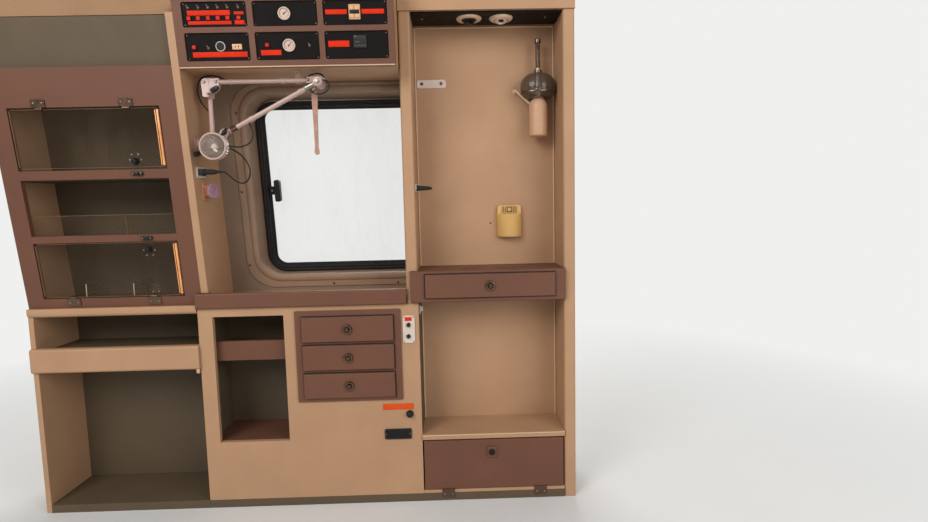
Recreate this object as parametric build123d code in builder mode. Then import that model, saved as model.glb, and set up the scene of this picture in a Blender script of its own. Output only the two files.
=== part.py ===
from build123d import *
from math import cos, sin, tan, radians
import os

# Left side wall unit of an ambulance's patient compartment, in millimetres.
# X runs along the vehicle, Y from the aisle into the wall, Z up from the floor.
# The origin is on the floor, at the middle of the length, in the plane of the furniture fronts.

# Overall sizes
WIDTH = 1960
HEIGHT = 1830
BELT_Z = 833
BEND_Z = 770
LEAN = 7.5
BOARD = 18
GAP = 0.3
HEADER_H = 57
BEVEL_H = 39
CONSOLE_H = 268
CONSOLE_LOW = HEIGHT - CONSOLE_H


def lean_y(depth, z):
    """Depth of a wall plane at height z: upright up to the bend, then leaning into the room."""
    return depth - (max(z, BEND_Z) - BELT_Z) * tan(radians(LEAN))


# Outer side panel and window
SKIN_Y = 320
SKIN_T = 3
SKIN_LOW = 0
SWAGE_R = 9
SWAGE_HEIGHTS = (430, 700)
RAIL_H = 60
RAIL_D = 60
END_POST_W = 45
WINDOW_X0 = -213
WINDOW_X1 = 427
WINDOW_LOW = 844
WINDOW_DROP = 47
WINDOW_TOP = CONSOLE_LOW - WINDOW_DROP
WINDOW_R = 75
SEAL_W = 27
SEAL_T = 20
SEAL_LIP = 4
SEAL_CUT = 12
SEAL_EASE = 4
GLASS_T = 5
LATCH_X0 = -182
LATCH_Z = 1174

# Inner lining and the moulded surround of the window
LINING_Y = 225
LINING_T = 6
MOUTH_GROW = 9
SURROUND_WALL = 5
FLANGE_SIDE = 58
FLANGE_FOOT = 54
FLANGE_HEAD = 42
FLANGE_X0 = WINDOW_X0 - FLANGE_SIDE
FLANGE_LOW = WINDOW_LOW - FLANGE_FOOT
FLANGE_TOP = WINDOW_TOP + FLANGE_HEAD
FLANGE_T = 4
FLANGE_R = 105

# Left cabinet
CAB_X0 = -WIDTH / 2
PILLAR_X0 = -365
PILLAR_X1 = -340
FACE_T = 18
FACE_LOW = 758
FACE_LAP = 11
FACE_TOP = CONSOLE_LOW + FACE_LAP
STILE_W = 58
LEDGE_H = 26
LEDGE_OUT = 14
CAB_BACK_Y = 222
CAB_BACK_T = 8
RECESS_SET = 22
RECESS_T = 8
HEADER_LOW = HEIGHT - HEADER_H
HEADER_OUT = 6
BEVEL_LOW = HEADER_LOW - BEVEL_H
HEADER_WALL = 18
LIP_LOW = 529
LIP_TOP = 617
LIP_T = 26
LIP_OUT = 12
FLOOR_BOLT_Y = (60, 190)
FLOOR_BOLT_R = 4.5

# Openings of the left cabinet's face frame: low edge, top edge
TOP_RAIL = 125
UPPER_FLAP_H = 205
SHELF_RAIL = 31
CATCH_RAIL = 24
LOWER_FLAP_H = 200
FOOT_RAIL = 38
UPPER_FLAP_BAY = (FACE_TOP - TOP_RAIL - UPPER_FLAP_H, FACE_TOP - TOP_RAIL)
LOWER_FLAP_BAY = (FACE_LOW + FOOT_RAIL, FACE_LOW + FOOT_RAIL + LOWER_FLAP_H)
MIDDLE_BAY = (LOWER_FLAP_BAY[1] + CATCH_RAIL, UPPER_FLAP_BAY[0] - SHELF_RAIL)
FLAP_T = 6
FLAP_GAP = 5
FLAP_SET = 0.3
FLAP_KNOB_R = 11
CATCH_FROM_STILE = 102
HINGE_T = 3
HINGE_W = 46
KNUCKLE_R = 3
KNUCKLE_LIFT = KNUCKLE_R + GAP
HATCH_LEAF_H = 28

# Base cabinet
BASE_X0 = -382
FLOOR_BOLT_X = (CAB_X0 + 80, BASE_X0 - 58)
BASE_X1 = 410
BASE_TOP = 748
PLINTH_H = 30
PLINTH_SET = 0
BASE_BACK_Y = 217
BACK_T = 8
CUBBY_X0 = -330
CUBBY_X1 = -77
CUBBY_TOP = 717
SHELF_LIP_LOW = 548
SHELF_LIP_TOP = 619
CUBBY_LOW = 250
CUBBY_LIP_SET = 32
SURROUND_X0 = -36
SURROUND_X1 = 344
SURROUND_LOW = 395
SURROUND_TOP = 731
SURROUND_OUT = 6
WORKTOP_Z = 776
FASCIA_LOW = 748
FASCIA_TOP = 804
FASCIA_T = 20
FASCIA_OUT = 14
FASCIA_X1 = 367
PLATE_X0 = 351
PLATE_X1 = 395
PLATE_LOW = 604
PLATE_TOP = 705
PLATE_T = 4

# Drawers
DRAWER_X0 = -11
DRAWER_X1 = 318
DRAWER_TOP = 709
DRAWER_H = 91
DRAWER_PITCH = 104
DRAWER_COUNT = 3
DRAWER_FRONT_T = 11
DRAWER_STOP = 1
TRAY_WALL = 5
TRAY_DEPTH = 178
TRAY_SIDE = 13
TRAY_CLEAR = 5
TRAY_LOW = 13
TRAY_DROP = 22
RUNNER_CLEAR = 0.3
FRONT_EDGE = 2
LOCK_R = 16.5
LOCK_RING_H = 7
LOCK_OUT = 12
BUTTON_R = 7

# Column
COL_X0 = 368
COL_X1 = WIDTH / 2
POST_W = 42
NICHE_X0 = COL_X0 + POST_W
NICHE_X1 = COL_X1 - POST_W
NICHE_HEAD = 66
COLUMN_CLEAR = 18
COL_BACK_Y = round(lean_y(SKIN_Y - SKIN_T, HEIGHT - NICHE_HEAD)) - COLUMN_CLEAR
COL_BACK_T = 9
NICHE_TOP = HEIGHT - NICHE_HEAD
POST_ROUND = 9
LEDGE_LOW = 236
LEDGE_TOP = 256
HOUSING_IN = 15
HOUSING_LAP = 3
HOUSING_X0 = COL_X0 + HOUSING_IN
HOUSING_X1 = NICHE_X1 + HOUSING_LAP
HOUSING_LOW = 752
HOUSING_H = 113
HOUSING_TOP = HOUSING_LOW + HOUSING_H
HOUSING_OUT = 18
HOUSING_FRAME_T = 24
WIDE_EDGE_LEFT = 54
WIDE_EDGE_RIGHT = 39
WIDE_EDGE_FOOT = 17
WIDE_EDGE_TOP = 12
WIDE_X0 = HOUSING_X0 + WIDE_EDGE_LEFT
WIDE_X1 = HOUSING_X1 - WIDE_EDGE_RIGHT
WIDE_LOW = HOUSING_LOW + WIDE_EDGE_FOOT
WIDE_TOP = HOUSING_TOP - WIDE_EDGE_TOP
HATCH_GAP = 5
HATCH_T = 14
HATCH_LOW = 42
LATCH_PAD_OFF = 8
LATCH_PAD_DROP = 50
LATCH_PAD_X = (NICHE_X0 + NICHE_X1) / 2 - LATCH_PAD_OFF
LATCH_PAD_W = 34
LATCH_PAD_H = 40
LATCH_PAD_Z = LEDGE_LOW - LATCH_PAD_DROP

# Niche fittings
CEILING_PLATE_T = 6
CEILING_PLATE_SHORT = 30
NICHE_MIDDLE = (NICHE_X0 + NICHE_X1) / 2
SPOT_LEFT = 58
SPOT_RIGHT = 56
SPOT_Y = 66
SPOTS = (
    # x, y, outer radius, ring height
    (NICHE_MIDDLE - SPOT_LEFT, SPOT_Y, 44, 9),
    (NICHE_MIDDLE + SPOT_RIGHT, SPOT_Y, 41, 12),
)
HOLDER_IN = 178
HOLDER_LIFT = 107
HOLDER_H = 88
HOLDER_X = NICHE_X1 - HOLDER_IN
HOLDER_LOW = HOUSING_TOP + HOLDER_LIFT
HOLDER_TOP = HOLDER_LOW + HOLDER_H
HOLDER_R = 42
HOLDER_WALL = 4
FLOW_IN = 58
FLOW_OUT = 58
FLOW_X = NICHE_X1 - FLOW_IN
FLOW_Y = COL_BACK_Y - FLOW_OUT
FLOW_TUBE_R = 12
BOTTLE_R = 32
BOTTLE_H = 134
CONE_H = 48
DOME_DROP = 224
TUBE_H = 160
DOME_Z = NICHE_TOP - DOME_DROP
BOTTLE_TOP = DOME_Z - CONE_H
BOTTLE_LOW = BOTTLE_TOP - BOTTLE_H
DOME_R = 56
DOME_H = 58
DOME_RIM = 12
DOME_WALL = 3
FLOW_TOP = DOME_Z + TUBE_H
STRIP_IN = 14
STRIP_L = 100
STRIP_DROP = 208
STRIP_X0 = NICHE_X0 + STRIP_IN
STRIP_X1 = STRIP_X0 + STRIP_L
STRIP_Z = NICHE_TOP - STRIP_DROP
NICHE_CLIP_Z = 1162
NICHE_CATCH_Z = HOUSING_LOW - 36
NICHE_CATCH_H = 16

# Console
CONSOLE_X0 = PILLAR_X1
CONSOLE_X1 = COL_X0 - 2
CONSOLE_TOP_GAP = 3
CONSOLE_TOP = HEIGHT - CONSOLE_TOP_GAP
CONSOLE_T = 18
MODULE_W = 207
MODULE_LEFT = PILLAR_X1 + 28
MODULE_MIDDLE = MODULE_LEFT + MODULE_W + 19
MODULE_RIGHT = MODULE_MIDDLE + MODULE_W + 18
MODULE_X = {"left": MODULE_LEFT, "middle": MODULE_MIDDLE, "right": MODULE_RIGHT}
MODULE_SIDE = 20
LOW_MODULE_H = 86
TOP_MODULE_H = 76
MODULE_FOOT = 21
MODULE_BAR = 17
LOW_ROW = CONSOLE_LOW + MODULE_FOOT
TOP_ROW = LOW_ROW + LOW_MODULE_H + MODULE_BAR
MODULE_ROWS = {
    # low edge, top edge
    "low": (LOW_ROW, LOW_ROW + LOW_MODULE_H),
    "top": (TOP_ROW, TOP_ROW + TOP_MODULE_H),
}
MODULE_R = 7
MODULE_SET = 5
MODULE_T = 6
SOFFIT_T = 14

# Console controls: column, row from below, place across and up the module as shares of it
SWITCHES = (
    ("left", "top", 0.13, 0.40),
    ("left", "top", 0.27, 0.40),
    ("left", "top", 0.41, 0.40),
    ("left", "top", 0.55, 0.40),
    ("left", "top", 0.70, 0.40),
    ("left", "top", 0.86, 0.40),
    ("left", "low", 0.13, 0.50),
    ("middle", "low", 0.18, 0.54),
)
SWITCH_W = 13
SWITCH_H = 21
SWITCH_OUT = 8
DIALS = (
    ("middle", "top", 0.485, 0.50),
    ("middle", "low", 0.52, 0.52),
)
DIAL_R = 20
DIAL_OUT = 6
SOCKETS = (
    # column, row, across, up, radius
    ("left", "low", 0.54, 0.53, 15),
    ("left", "low", 0.36, 0.50, 7),
    ("middle", "low", 0.82, 0.52, 6),
)
SOCKET_OUT = 6
PANELS = (
    # column, row, across, up, width, height
    ("left", "low", 0.80, 0.50, 30, 17),
    ("right", "top", 0.49, 0.52, 36, 42),
    ("right", "low", 0.55, 0.66, 42, 32),
)
PANEL_OUT = 4

# Lamp on its jointed arm
LAMP_OUT = 56
LAMP_X = PILLAR_X1 + LAMP_OUT
LAMP_Y = -5
BOOM_DROP = 31
BOOM_Z = CONSOLE_LOW - BOOM_DROP
RISER_H = 186
MOUNT_R = 19
MOUNT_H = 39
MOUNT_TOP = BOOM_Z - RISER_H
MOUNT_LOW = MOUNT_TOP - MOUNT_H
RISER_LOW = MOUNT_TOP + GAP
TUBE_R = 8
BOOM_STEP = 27
BOOM_Y = LAMP_Y - BOOM_STEP
BOOM_X0 = LAMP_X + 2 * TUBE_R
ELBOW_Z = BOOM_Z - 9
WING_SHAFT = 18
WING_OUT = 23
ARM_PIVOT_X = 100
ARM_PIVOT_Z = BOOM_Z - 11
BOOM_X1 = ARM_PIVOT_X - TUBE_R
ARM_STEP = 26
ARM_Y = BOOM_Y - ARM_STEP
ELBOW_FACE_Y = ARM_Y + ARM_STEP / 2
ELBOW_R = 18
HEAD_IN = 22
HEAD_DROP = 27
HEAD_STEP = 40
HEAD_X = LAMP_X + HEAD_IN
HEAD_Z = MOUNT_TOP - HEAD_DROP
HEAD_Y = ARM_Y - HEAD_STEP
HEAD_R = 48
HEAD_D = 44
HEAD_WALL = 4
FORK_X = HEAD_X + HEAD_R
FORK_Z = HEAD_Z + 40
FORK_HALF = 10
STRAP_X = 80
STRAP_EYE = 10
STRAP_PIN_Z = BOOM_Z - 41
STRAP_PIN_R = 3
STRAP_L = 219
STRAP_TOP = STRAP_PIN_Z + STRAP_EYE
STRAP_LOW = STRAP_TOP - STRAP_L
STRAP_W = 20
STRAP_T = 5
CLIP_X = 24

# Lamp socket, plug and lead on the pillar's side
SOCKET_Y = LAMP_Y - 11
SOCKET_DROP = 114
SOCKET_Z = MOUNT_TOP - SOCKET_DROP
SOCKET_SIZE = 42
HOOK_DROP = 63
HOOK_Z = SOCKET_Z - HOOK_DROP
HOOK_R = 21
PLUG_R = 9
PLUG_L = 60
PLUG_X0 = PILLAR_X1 + 18
PLUG_X1 = PLUG_X0 + PLUG_L
LEAD_R = 2.5
LEAD_OUT = 16
LEAD_IN = 20
LEAD_ROUTE = (
    (PLUG_X1, SOCKET_Y, SOCKET_Z),
    (PLUG_X1 + LEAD_OUT, SOCKET_Y, SOCKET_Z),
    (LAMP_X + 54, SOCKET_Y - 1, SOCKET_Z - 15),
    (LAMP_X + 76, SOCKET_Y - 3, SOCKET_Z - 34),
    (LAMP_X + 100, SOCKET_Y - 5, SOCKET_Z - 43),
    (LAMP_X + 119, SOCKET_Y - 6, SOCKET_Z - 33),
    (LAMP_X + 129, SOCKET_Y - 6, SOCKET_Z - 9),
    (LAMP_X + 127, SOCKET_Y - 6, SOCKET_Z + 16),
    (LAMP_X + 114, SOCKET_Y - 5, SOCKET_Z + 40),
    (LAMP_X + 94, SOCKET_Y - 3, SOCKET_Z + 61),
    (LAMP_X + 70, LAMP_Y - 11, SOCKET_Z + 76),
    (LAMP_X + 46, LAMP_Y - 6, SOCKET_Z + 86),
    (LAMP_X + LEAD_IN, LAMP_Y, SOCKET_Z + 89),
)

os.makedirs("parts", exist_ok=True)


def wall_plane(depth):
    """Sloping plane through the belt line at this depth; its normal points into the room."""
    slope = radians(LEAN)
    return Plane(origin=(0, depth, BELT_Z), x_dir=(1, 0, 0), z_dir=(0, -cos(slope), -sin(slope)))


def up_slope(z):
    """Distance from the belt line, along the sloping plane, to height z."""
    return (z - BELT_Z) / cos(radians(LEAN))


def slab(x0, x1, y0, y1, z0, z1, mode=Mode.ADD):
    """Upright board between two corners, in the open part."""
    with Locations(((x0 + x1) / 2, (y0 + y1) / 2, (z0 + z1) / 2)):
        Box(x1 - x0, y1 - y0, z1 - z0, mode=mode)


def side_profile(x0, x1, corners, mode=Mode.ADD):
    """Board of constant section along X, from its corners in Y and Z."""
    with BuildSketch(Plane.YZ.offset(x0)) as section:
        with BuildLine():
            Polyline(*corners, close=True)
        make_face()
    extrude(section.sketch, amount=x1 - x0, mode=mode)


def leaning_corners(front, back, low, high):
    """Corners of a sheet or board that turns at the bend and leans above it."""
    return (
        (lean_y(front, low), low),
        (lean_y(front, low), BEND_Z),
        (lean_y(front, high), high),
        (lean_y(back, high), high),
        (lean_y(back, low), BEND_Z),
        (lean_y(back, low), low),
    )


def sloping_y(depth, z):
    """Depth at height z of a sloping plane that doesn't bend."""
    return depth - (z - BELT_Z) * tan(radians(LEAN))


def sloping_outline(plane, x0, x1, low, high, radius=0):
    """Rectangle on a sloping plane between two X and two heights, with rounded corners if asked."""
    height = up_slope(high) - up_slope(low)
    with BuildSketch(plane) as face:
        with Locations(((x0 + x1) / 2, (up_slope(low) + up_slope(high)) / 2)):
            if radius:
                RectangleRounded(x1 - x0, height, radius)
            else:
                Rectangle(x1 - x0, height)
    return face.sketch


def sloping_plate(depth, x0, x1, low, high, thickness, radius=0, lift=0):
    """Flat plate on a sloping plane, raised by a lift; a positive thickness grows into the room."""
    extrude(sloping_outline(wall_plane(depth).offset(lift), x0, x1, low, high, radius), amount=thickness)


def sloping_cut(depth, x0, x1, low, high, reach, radius=0):
    """Straight cut through a sloping plane, as far as the reach on both sides."""
    outline = sloping_outline(wall_plane(depth), x0, x1, low, high, radius)
    extrude(outline, amount=reach, both=True, mode=Mode.SUBTRACT)


def tube(start, end, radius, mode=Mode.ADD):
    """Round bar from one point to another."""
    run = Vector(*end) - Vector(*start)
    with BuildSketch(Plane(origin=start, z_dir=run)) as section:
        Circle(radius)
    extrude(section.sketch, amount=run.length, mode=mode)


def module_point(column, row, across, up):
    """Place on the console's sloping plane of a control given by shares of its module."""
    low, top = MODULE_ROWS[row]
    return (MODULE_X[column] + across * MODULE_W, up_slope(low + up * (top - low)))


def window_outline(grow):
    """Rounded outline of the window's seal, larger by this much all round."""
    low = up_slope(WINDOW_LOW)
    top = up_slope(WINDOW_TOP)
    with Locations(((WINDOW_X0 + WINDOW_X1) / 2, (low + top) / 2)):
        RectangleRounded(WINDOW_X1 - WINDOW_X0 + 2 * grow, top - low + 2 * grow, WINDOW_R + grow)


def write(part, name):
    """Label one finished piece and write its file."""
    part.label = name
    export_step(part, f"parts/{name}.step")


SKIN_IN = SKIN_Y - SKIN_T
FACE_BACK = FACE_T / cos(radians(LEAN)) + GAP
WORKTOP_BACK = lean_y(LINING_Y, WORKTOP_Z) - GAP

# Outer side panel: one pressed sheet with hollow swage lines, a sill return and a roof flange
with BuildPart() as body_skin:
    side_profile(CAB_X0, COL_X1, leaning_corners(SKIN_IN, SKIN_Y, SKIN_LOW, HEIGHT))
    lower_y = lean_y(SKIN_Y, SKIN_LOW)
    slab(CAB_X0, COL_X1, lower_y - RAIL_D, lower_y, SKIN_LOW, SKIN_LOW + SKIN_T)
    for swage_z in SWAGE_HEIGHTS:
        hollow = SWAGE_R - SKIN_T
        slab(CAB_X0, COL_X1, lower_y - SKIN_T, lower_y, swage_z - hollow, swage_z + hollow, Mode.SUBTRACT)
        with BuildSketch(Plane.YZ.offset(CAB_X0)) as swage:
            with Locations((lower_y - SKIN_T, swage_z)):
                Circle(SWAGE_R)
                Circle(hollow, mode=Mode.SUBTRACT)
                Rectangle(SWAGE_R, 2 * SWAGE_R, align=(Align.MAX, Align.CENTER), mode=Mode.SUBTRACT)
        extrude(swage.sketch, amount=WIDTH)
    with BuildSketch(wall_plane(SKIN_Y)) as aperture:
        window_outline(-SEAL_CUT)
    extrude(aperture.sketch, amount=2 * SEAL_T, both=True, mode=Mode.SUBTRACT)
write(body_skin.part, "body_skin")

# Wall frame: closing posts at both ends, a sill rail at the foot and a roof rail above the window
with BuildPart() as wall_frame:
    post_y = (CAB_BACK_Y + CAB_BACK_T + GAP, SKIN_IN - GAP)
    left_corners = leaning_corners(*post_y, SKIN_LOW + SKIN_T, HEADER_LOW)
    side_profile(CAB_X0, CAB_X0 + END_POST_W, left_corners)
    column_rear = COL_BACK_Y + COL_BACK_T + GAP
    right_corners = (
        (column_rear, SKIN_LOW + SKIN_T),
        (column_rear, NICHE_TOP),
        (lean_y(SKIN_IN - GAP, NICHE_TOP), NICHE_TOP),
        (lean_y(SKIN_IN - GAP, BEND_Z), BEND_Z),
        (lean_y(SKIN_IN - GAP, BEND_Z), SKIN_LOW + SKIN_T),
    )
    side_profile(COL_X1 - END_POST_W, COL_X1, right_corners)
    sill_back = lower_y - SKIN_T - GAP
    sill_low = SKIN_LOW + SKIN_T
    rail_ends = (CAB_X0 + END_POST_W + GAP, COL_X1 - END_POST_W - GAP)
    slab(*rail_ends, sill_back - RAIL_D, sill_back, sill_low, sill_low + RAIL_H)
    rail_corners = (
        (lean_y(SKIN_IN - GAP, HEIGHT) - RAIL_D, HEIGHT - RAIL_H),
        (lean_y(SKIN_IN - GAP, HEIGHT - RAIL_H), HEIGHT - RAIL_H),
        (lean_y(SKIN_IN - GAP, HEIGHT - BOARD), HEIGHT - BOARD),
        (lean_y(SKIN_IN - GAP, HEIGHT) - RAIL_D, HEIGHT - BOARD),
    )
    side_profile(CONSOLE_X0, CONSOLE_X1, rail_corners)
write(wall_frame.part, "wall_frame")

# Lining between the pillar and the column, open at the window's mouth
with BuildPart() as inner_lining:
    lining_corners = leaning_corners(LINING_Y, LINING_Y + LINING_T, FASCIA_LOW, CONSOLE_LOW + SOFFIT_T)
    side_profile(PILLAR_X1 + GAP, COL_X0 - GAP, lining_corners)
    with BuildSketch(wall_plane(LINING_Y)) as mouth:
        window_outline(MOUTH_GROW + SURROUND_WALL + 2)
    extrude(mouth.sketch, amount=3 * LINING_T, both=True, mode=Mode.SUBTRACT)
write(inner_lining.part, "inner_lining")


# Moulded window surround: a wide rounded flange on the lining and tapering walls to the outer panel
with BuildPart() as window_surround:
    flange_x1 = WINDOW_X1 + (WINDOW_X0 - FLANGE_X0)
    sloping_plate(LINING_Y - GAP, FLANGE_X0, flange_x1, FLANGE_LOW, FLANGE_TOP, FLANGE_T, FLANGE_R)
    for wall, mode in ((SURROUND_WALL, Mode.ADD), (0, Mode.SUBTRACT)):
        spare = 0 if wall else 1
        with BuildSketch(wall_plane(LINING_Y - GAP - FLANGE_T - spare)) as mouth_end:
            window_outline(MOUTH_GROW + wall)
        with BuildSketch(wall_plane(SKIN_IN - GAP + spare)) as skin_end:
            window_outline(GAP + wall)
        loft([mouth_end.sketch, skin_end.sketch], mode=mode)
    column_front = (COL_X0 - GAP, WINDOW_X1 + 4 * FLANGE_R, -FLANGE_R, COL_BACK_Y + COL_BACK_T + GAP)
    slab(*column_front, FASCIA_LOW, HEIGHT, Mode.SUBTRACT)
write(window_surround.part, "window_surround")

# Rubber seal round the glass, gripping the outer panel with a lip on its outside
with BuildPart() as window_seal:
    for lift, thickness, grow in (
        (SKIN_T + GAP, SEAL_T, -SEAL_EASE),
        (-GAP, -SEAL_LIP, 0),
        (-GAP, SKIN_T + 2 * GAP, -SEAL_CUT - GAP),
    ):
        with BuildSketch(wall_plane(SKIN_Y).offset(lift)) as band:
            window_outline(grow)
        extrude(band.sketch, amount=thickness)
    with BuildSketch(wall_plane(SKIN_Y)) as pane_hole:
        window_outline(-SEAL_W)
    extrude(pane_hole.sketch, amount=2 * SEAL_T, both=True, mode=Mode.SUBTRACT)
write(window_seal.part, "window_seal")

# Glass, seated in the seal
with BuildPart() as window_glass:
    with BuildSketch(wall_plane(SKIN_Y)) as pane:
        window_outline(-SEAL_W)
    extrude(pane.sketch, amount=GLASS_T)
write(window_glass.part, "window_glass")

# Black latch at the edge of the glass: a foot on the pane and a grip standing on it
with BuildPart() as window_latch:
    foot = (LATCH_X0, LATCH_X0 + 34, LATCH_Z - 16, LATCH_Z + 16)
    grip = (LATCH_X0 + 24, LATCH_X0 + 46, LATCH_Z - 42, LATCH_Z + 42)
    sloping_plate(SKIN_Y, *foot, 14, 5, GLASS_T + GAP)
    sloping_plate(SKIN_Y, *grip, 20, 7, GLASS_T + 12)
write(window_latch.part, "window_latch")

# Upright boards of the left cabinet: the end panel and the pillar beside the window
with BuildPart() as cabinet_uprights:
    ledge_low = FACE_LOW - LEDGE_H
    end_corners = (
        (0, 0),
        (0, ledge_low - GAP),
        (sloping_y(FACE_BACK, ledge_low), ledge_low - GAP),
        (lean_y(FACE_BACK + RECESS_SET + RECESS_T, BEVEL_LOW), BEVEL_LOW),
        (lean_y(FACE_BACK + RECESS_SET + RECESS_T, BEVEL_LOW), HEADER_LOW - GAP),
        (lean_y(CAB_BACK_Y, HEADER_LOW), HEADER_LOW - GAP),
        (lean_y(CAB_BACK_Y, BEND_Z), BEND_Z),
        (lean_y(CAB_BACK_Y, BEND_Z), 0),
    )
    side_profile(CAB_X0, CAB_X0 + BOARD, end_corners)
    pillar_corners = (
        (lean_y(0, FASCIA_TOP + 1), FASCIA_TOP + 1),
        (lean_y(0, BEVEL_LOW), BEVEL_LOW - GAP),
        (lean_y(FACE_BACK + RECESS_SET + RECESS_T, BEVEL_LOW), BEVEL_LOW - GAP),
        (lean_y(FACE_BACK + RECESS_SET + RECESS_T, BEVEL_LOW), HEADER_LOW - GAP),
        (lean_y(LINING_Y + LINING_T, HEADER_LOW), HEADER_LOW - GAP),
        (lean_y(LINING_Y + LINING_T, WORKTOP_Z), WORKTOP_Z + GAP),
        (lean_y(FASCIA_T, WORKTOP_Z), WORKTOP_Z + GAP),
        (lean_y(FASCIA_T, WORKTOP_Z), FASCIA_TOP + 1),
    )
    side_profile(PILLAR_X0, PILLAR_X1, pillar_corners)
write(cabinet_uprights.part, "cabinet_uprights")

SHELF_X0 = CAB_X0 + BOARD + GAP
LOW_SHELF_X1 = BASE_X0 - GAP

# Back panel of the left cabinet
with BuildPart() as cabinet_back:
    back_corners = leaning_corners(CAB_BACK_Y, CAB_BACK_Y + CAB_BACK_T, PLINTH_H, HEADER_LOW - GAP)
    side_profile(CAB_X0, PILLAR_X0 - GAP, back_corners)
    slab(LOW_SHELF_X1, PILLAR_X0, 0, SKIN_Y, 0, WORKTOP_Z + GAP, Mode.SUBTRACT)
write(cabinet_back.part, "cabinet_back")

# Boards of the left cabinet, from the foot to the top; the lowest ones run out to the lip
with BuildPart() as cabinet_shelves:
    back_y = lean_y(CAB_BACK_Y, 0) - GAP
    slab(SHELF_X0, LOW_SHELF_X1, PLINTH_SET, back_y, 0, PLINTH_H)
    for bolt_x in FLOOR_BOLT_X:
        for bolt_y in FLOOR_BOLT_Y:
            tube((bolt_x, bolt_y, -1), (bolt_x, bolt_y, PLINTH_H + 1), FLOOR_BOLT_R, Mode.SUBTRACT)
    slab(SHELF_X0, LOW_SHELF_X1, LIP_T - LIP_OUT, back_y, LIP_TOP - 2 * BOARD, LIP_TOP - BOARD)
    for shelf_top, shelf_x1 in (
        (FACE_LOW + BOARD, LOW_SHELF_X1),
        (LOWER_FLAP_BAY[1] + BOARD, PILLAR_X0 - GAP),
        (MIDDLE_BAY[1] + BOARD, PILLAR_X0 - GAP),
        (FACE_TOP, PILLAR_X0 - GAP),
    ):
        shelf_low = shelf_top - BOARD
        front = sloping_y(FACE_BACK, shelf_low)
        slab(SHELF_X0, shelf_x1, front, lean_y(CAB_BACK_Y, shelf_top) - GAP, shelf_low, shelf_top)
write(cabinet_shelves.part, "cabinet_shelves")

# Thick rounded lip along the front of the lower shelf
with BuildPart() as shelf_lip:
    slab(CAB_X0, LOW_SHELF_X1, -LIP_OUT, LIP_T - LIP_OUT - GAP, LIP_LOW, LIP_TOP)
    slab(CAB_X0, CAB_X0 + BOARD + GAP, 0, LIP_T, LIP_LOW - 1, LIP_TOP + 1, Mode.SUBTRACT)
    fillet(shelf_lip.edges().filter_by(Axis.X).group_by(Axis.Y)[0], radius=9)
write(shelf_lip.part, "shelf_lip")

# Face frame with two flap bays, an open bay between them and a rounded ledge at its foot
with BuildPart() as cabinet_face:
    sloping_plate(0, CAB_X0, PILLAR_X0 - GAP, FACE_LOW, FACE_TOP, -FACE_T)
    for bay_low, bay_top in (UPPER_FLAP_BAY, MIDDLE_BAY, LOWER_FLAP_BAY):
        bay = (CAB_X0 + STILE_W, PILLAR_X0 - STILE_W, bay_low, bay_top)
        sloping_cut(0, *bay, 2 * FACE_T)
    ledge_y = sloping_y(0, FACE_LOW)
    slab(CAB_X0, PILLAR_X0 - GAP, ledge_y - LEDGE_OUT, ledge_y + FACE_T, ledge_low, FACE_LOW + 2)
    slab(LOW_SHELF_X1, PILLAR_X0, -FACE_T, 3 * FACE_T, ledge_low - 1, FASCIA_TOP + GAP, Mode.SUBTRACT)
    ledge_edge = cabinet_face.edges().filter_by(Axis.X).group_by(Axis.Z)[0].sort_by(Axis.Y)[0]
    fillet(ledge_edge, radius=12)
write(cabinet_face.part, "cabinet_face")

# Blank recessed panel between the face frame and the header
with BuildPart() as recess_panel:
    recess_x = (CAB_X0 + BOARD + GAP, PILLAR_X0 - GAP)
    sloping_plate(RECESS_SET, *recess_x, FACE_TOP + GAP, BEVEL_LOW - 2, -RECESS_T)
write(recess_panel.part, "recess_panel")

# Hollow headers: the left one has a bevel along its lower front, the right one closes the niche
with BuildPart() as headers:
    front_low = lean_y(-HEADER_OUT, HEADER_LOW)
    nose_y = lean_y(RECESS_SET, BEVEL_LOW)
    header_corners = (
        (front_low, HEADER_LOW),
        (lean_y(-HEADER_OUT, HEIGHT), HEIGHT),
        (lean_y(SKIN_IN - GAP, HEIGHT), HEIGHT),
        (lean_y(SKIN_IN - GAP, HEADER_LOW), HEADER_LOW),
        (nose_y + HEADER_WALL, HEADER_LOW),
        (nose_y + HEADER_WALL / 2, BEVEL_LOW),
        (nose_y, BEVEL_LOW),
    )
    side_profile(CAB_X0, PILLAR_X1 - GAP, header_corners)
    hollow_x = (CAB_X0 + BOARD, PILLAR_X1 - BOARD)
    hollow_y = (front_low + 2 * HEADER_WALL, lean_y(SKIN_IN, HEIGHT) - HEADER_WALL)
    slab(*hollow_x, *hollow_y, HEADER_LOW + HEADER_WALL, HEIGHT - HEADER_WALL, Mode.SUBTRACT)
    column_corners = (
        (-HEADER_OUT, NICHE_TOP + GAP),
        (-HEADER_OUT, HEIGHT),
        (lean_y(SKIN_IN - GAP, HEIGHT), HEIGHT),
        (lean_y(SKIN_IN - GAP, HEIGHT), NICHE_TOP + GAP),
    )
    side_profile(COL_X0, COL_X1, column_corners)
    hollow_y = (HEADER_WALL, lean_y(SKIN_IN, HEIGHT) - HEADER_WALL)
    hollow_x = (COL_X0 + BOARD, COL_X1 - BOARD)
    slab(*hollow_x, *hollow_y, NICHE_TOP + HEADER_WALL, HEIGHT - HEADER_WALL, Mode.SUBTRACT)
write(headers.part, "headers")

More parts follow.
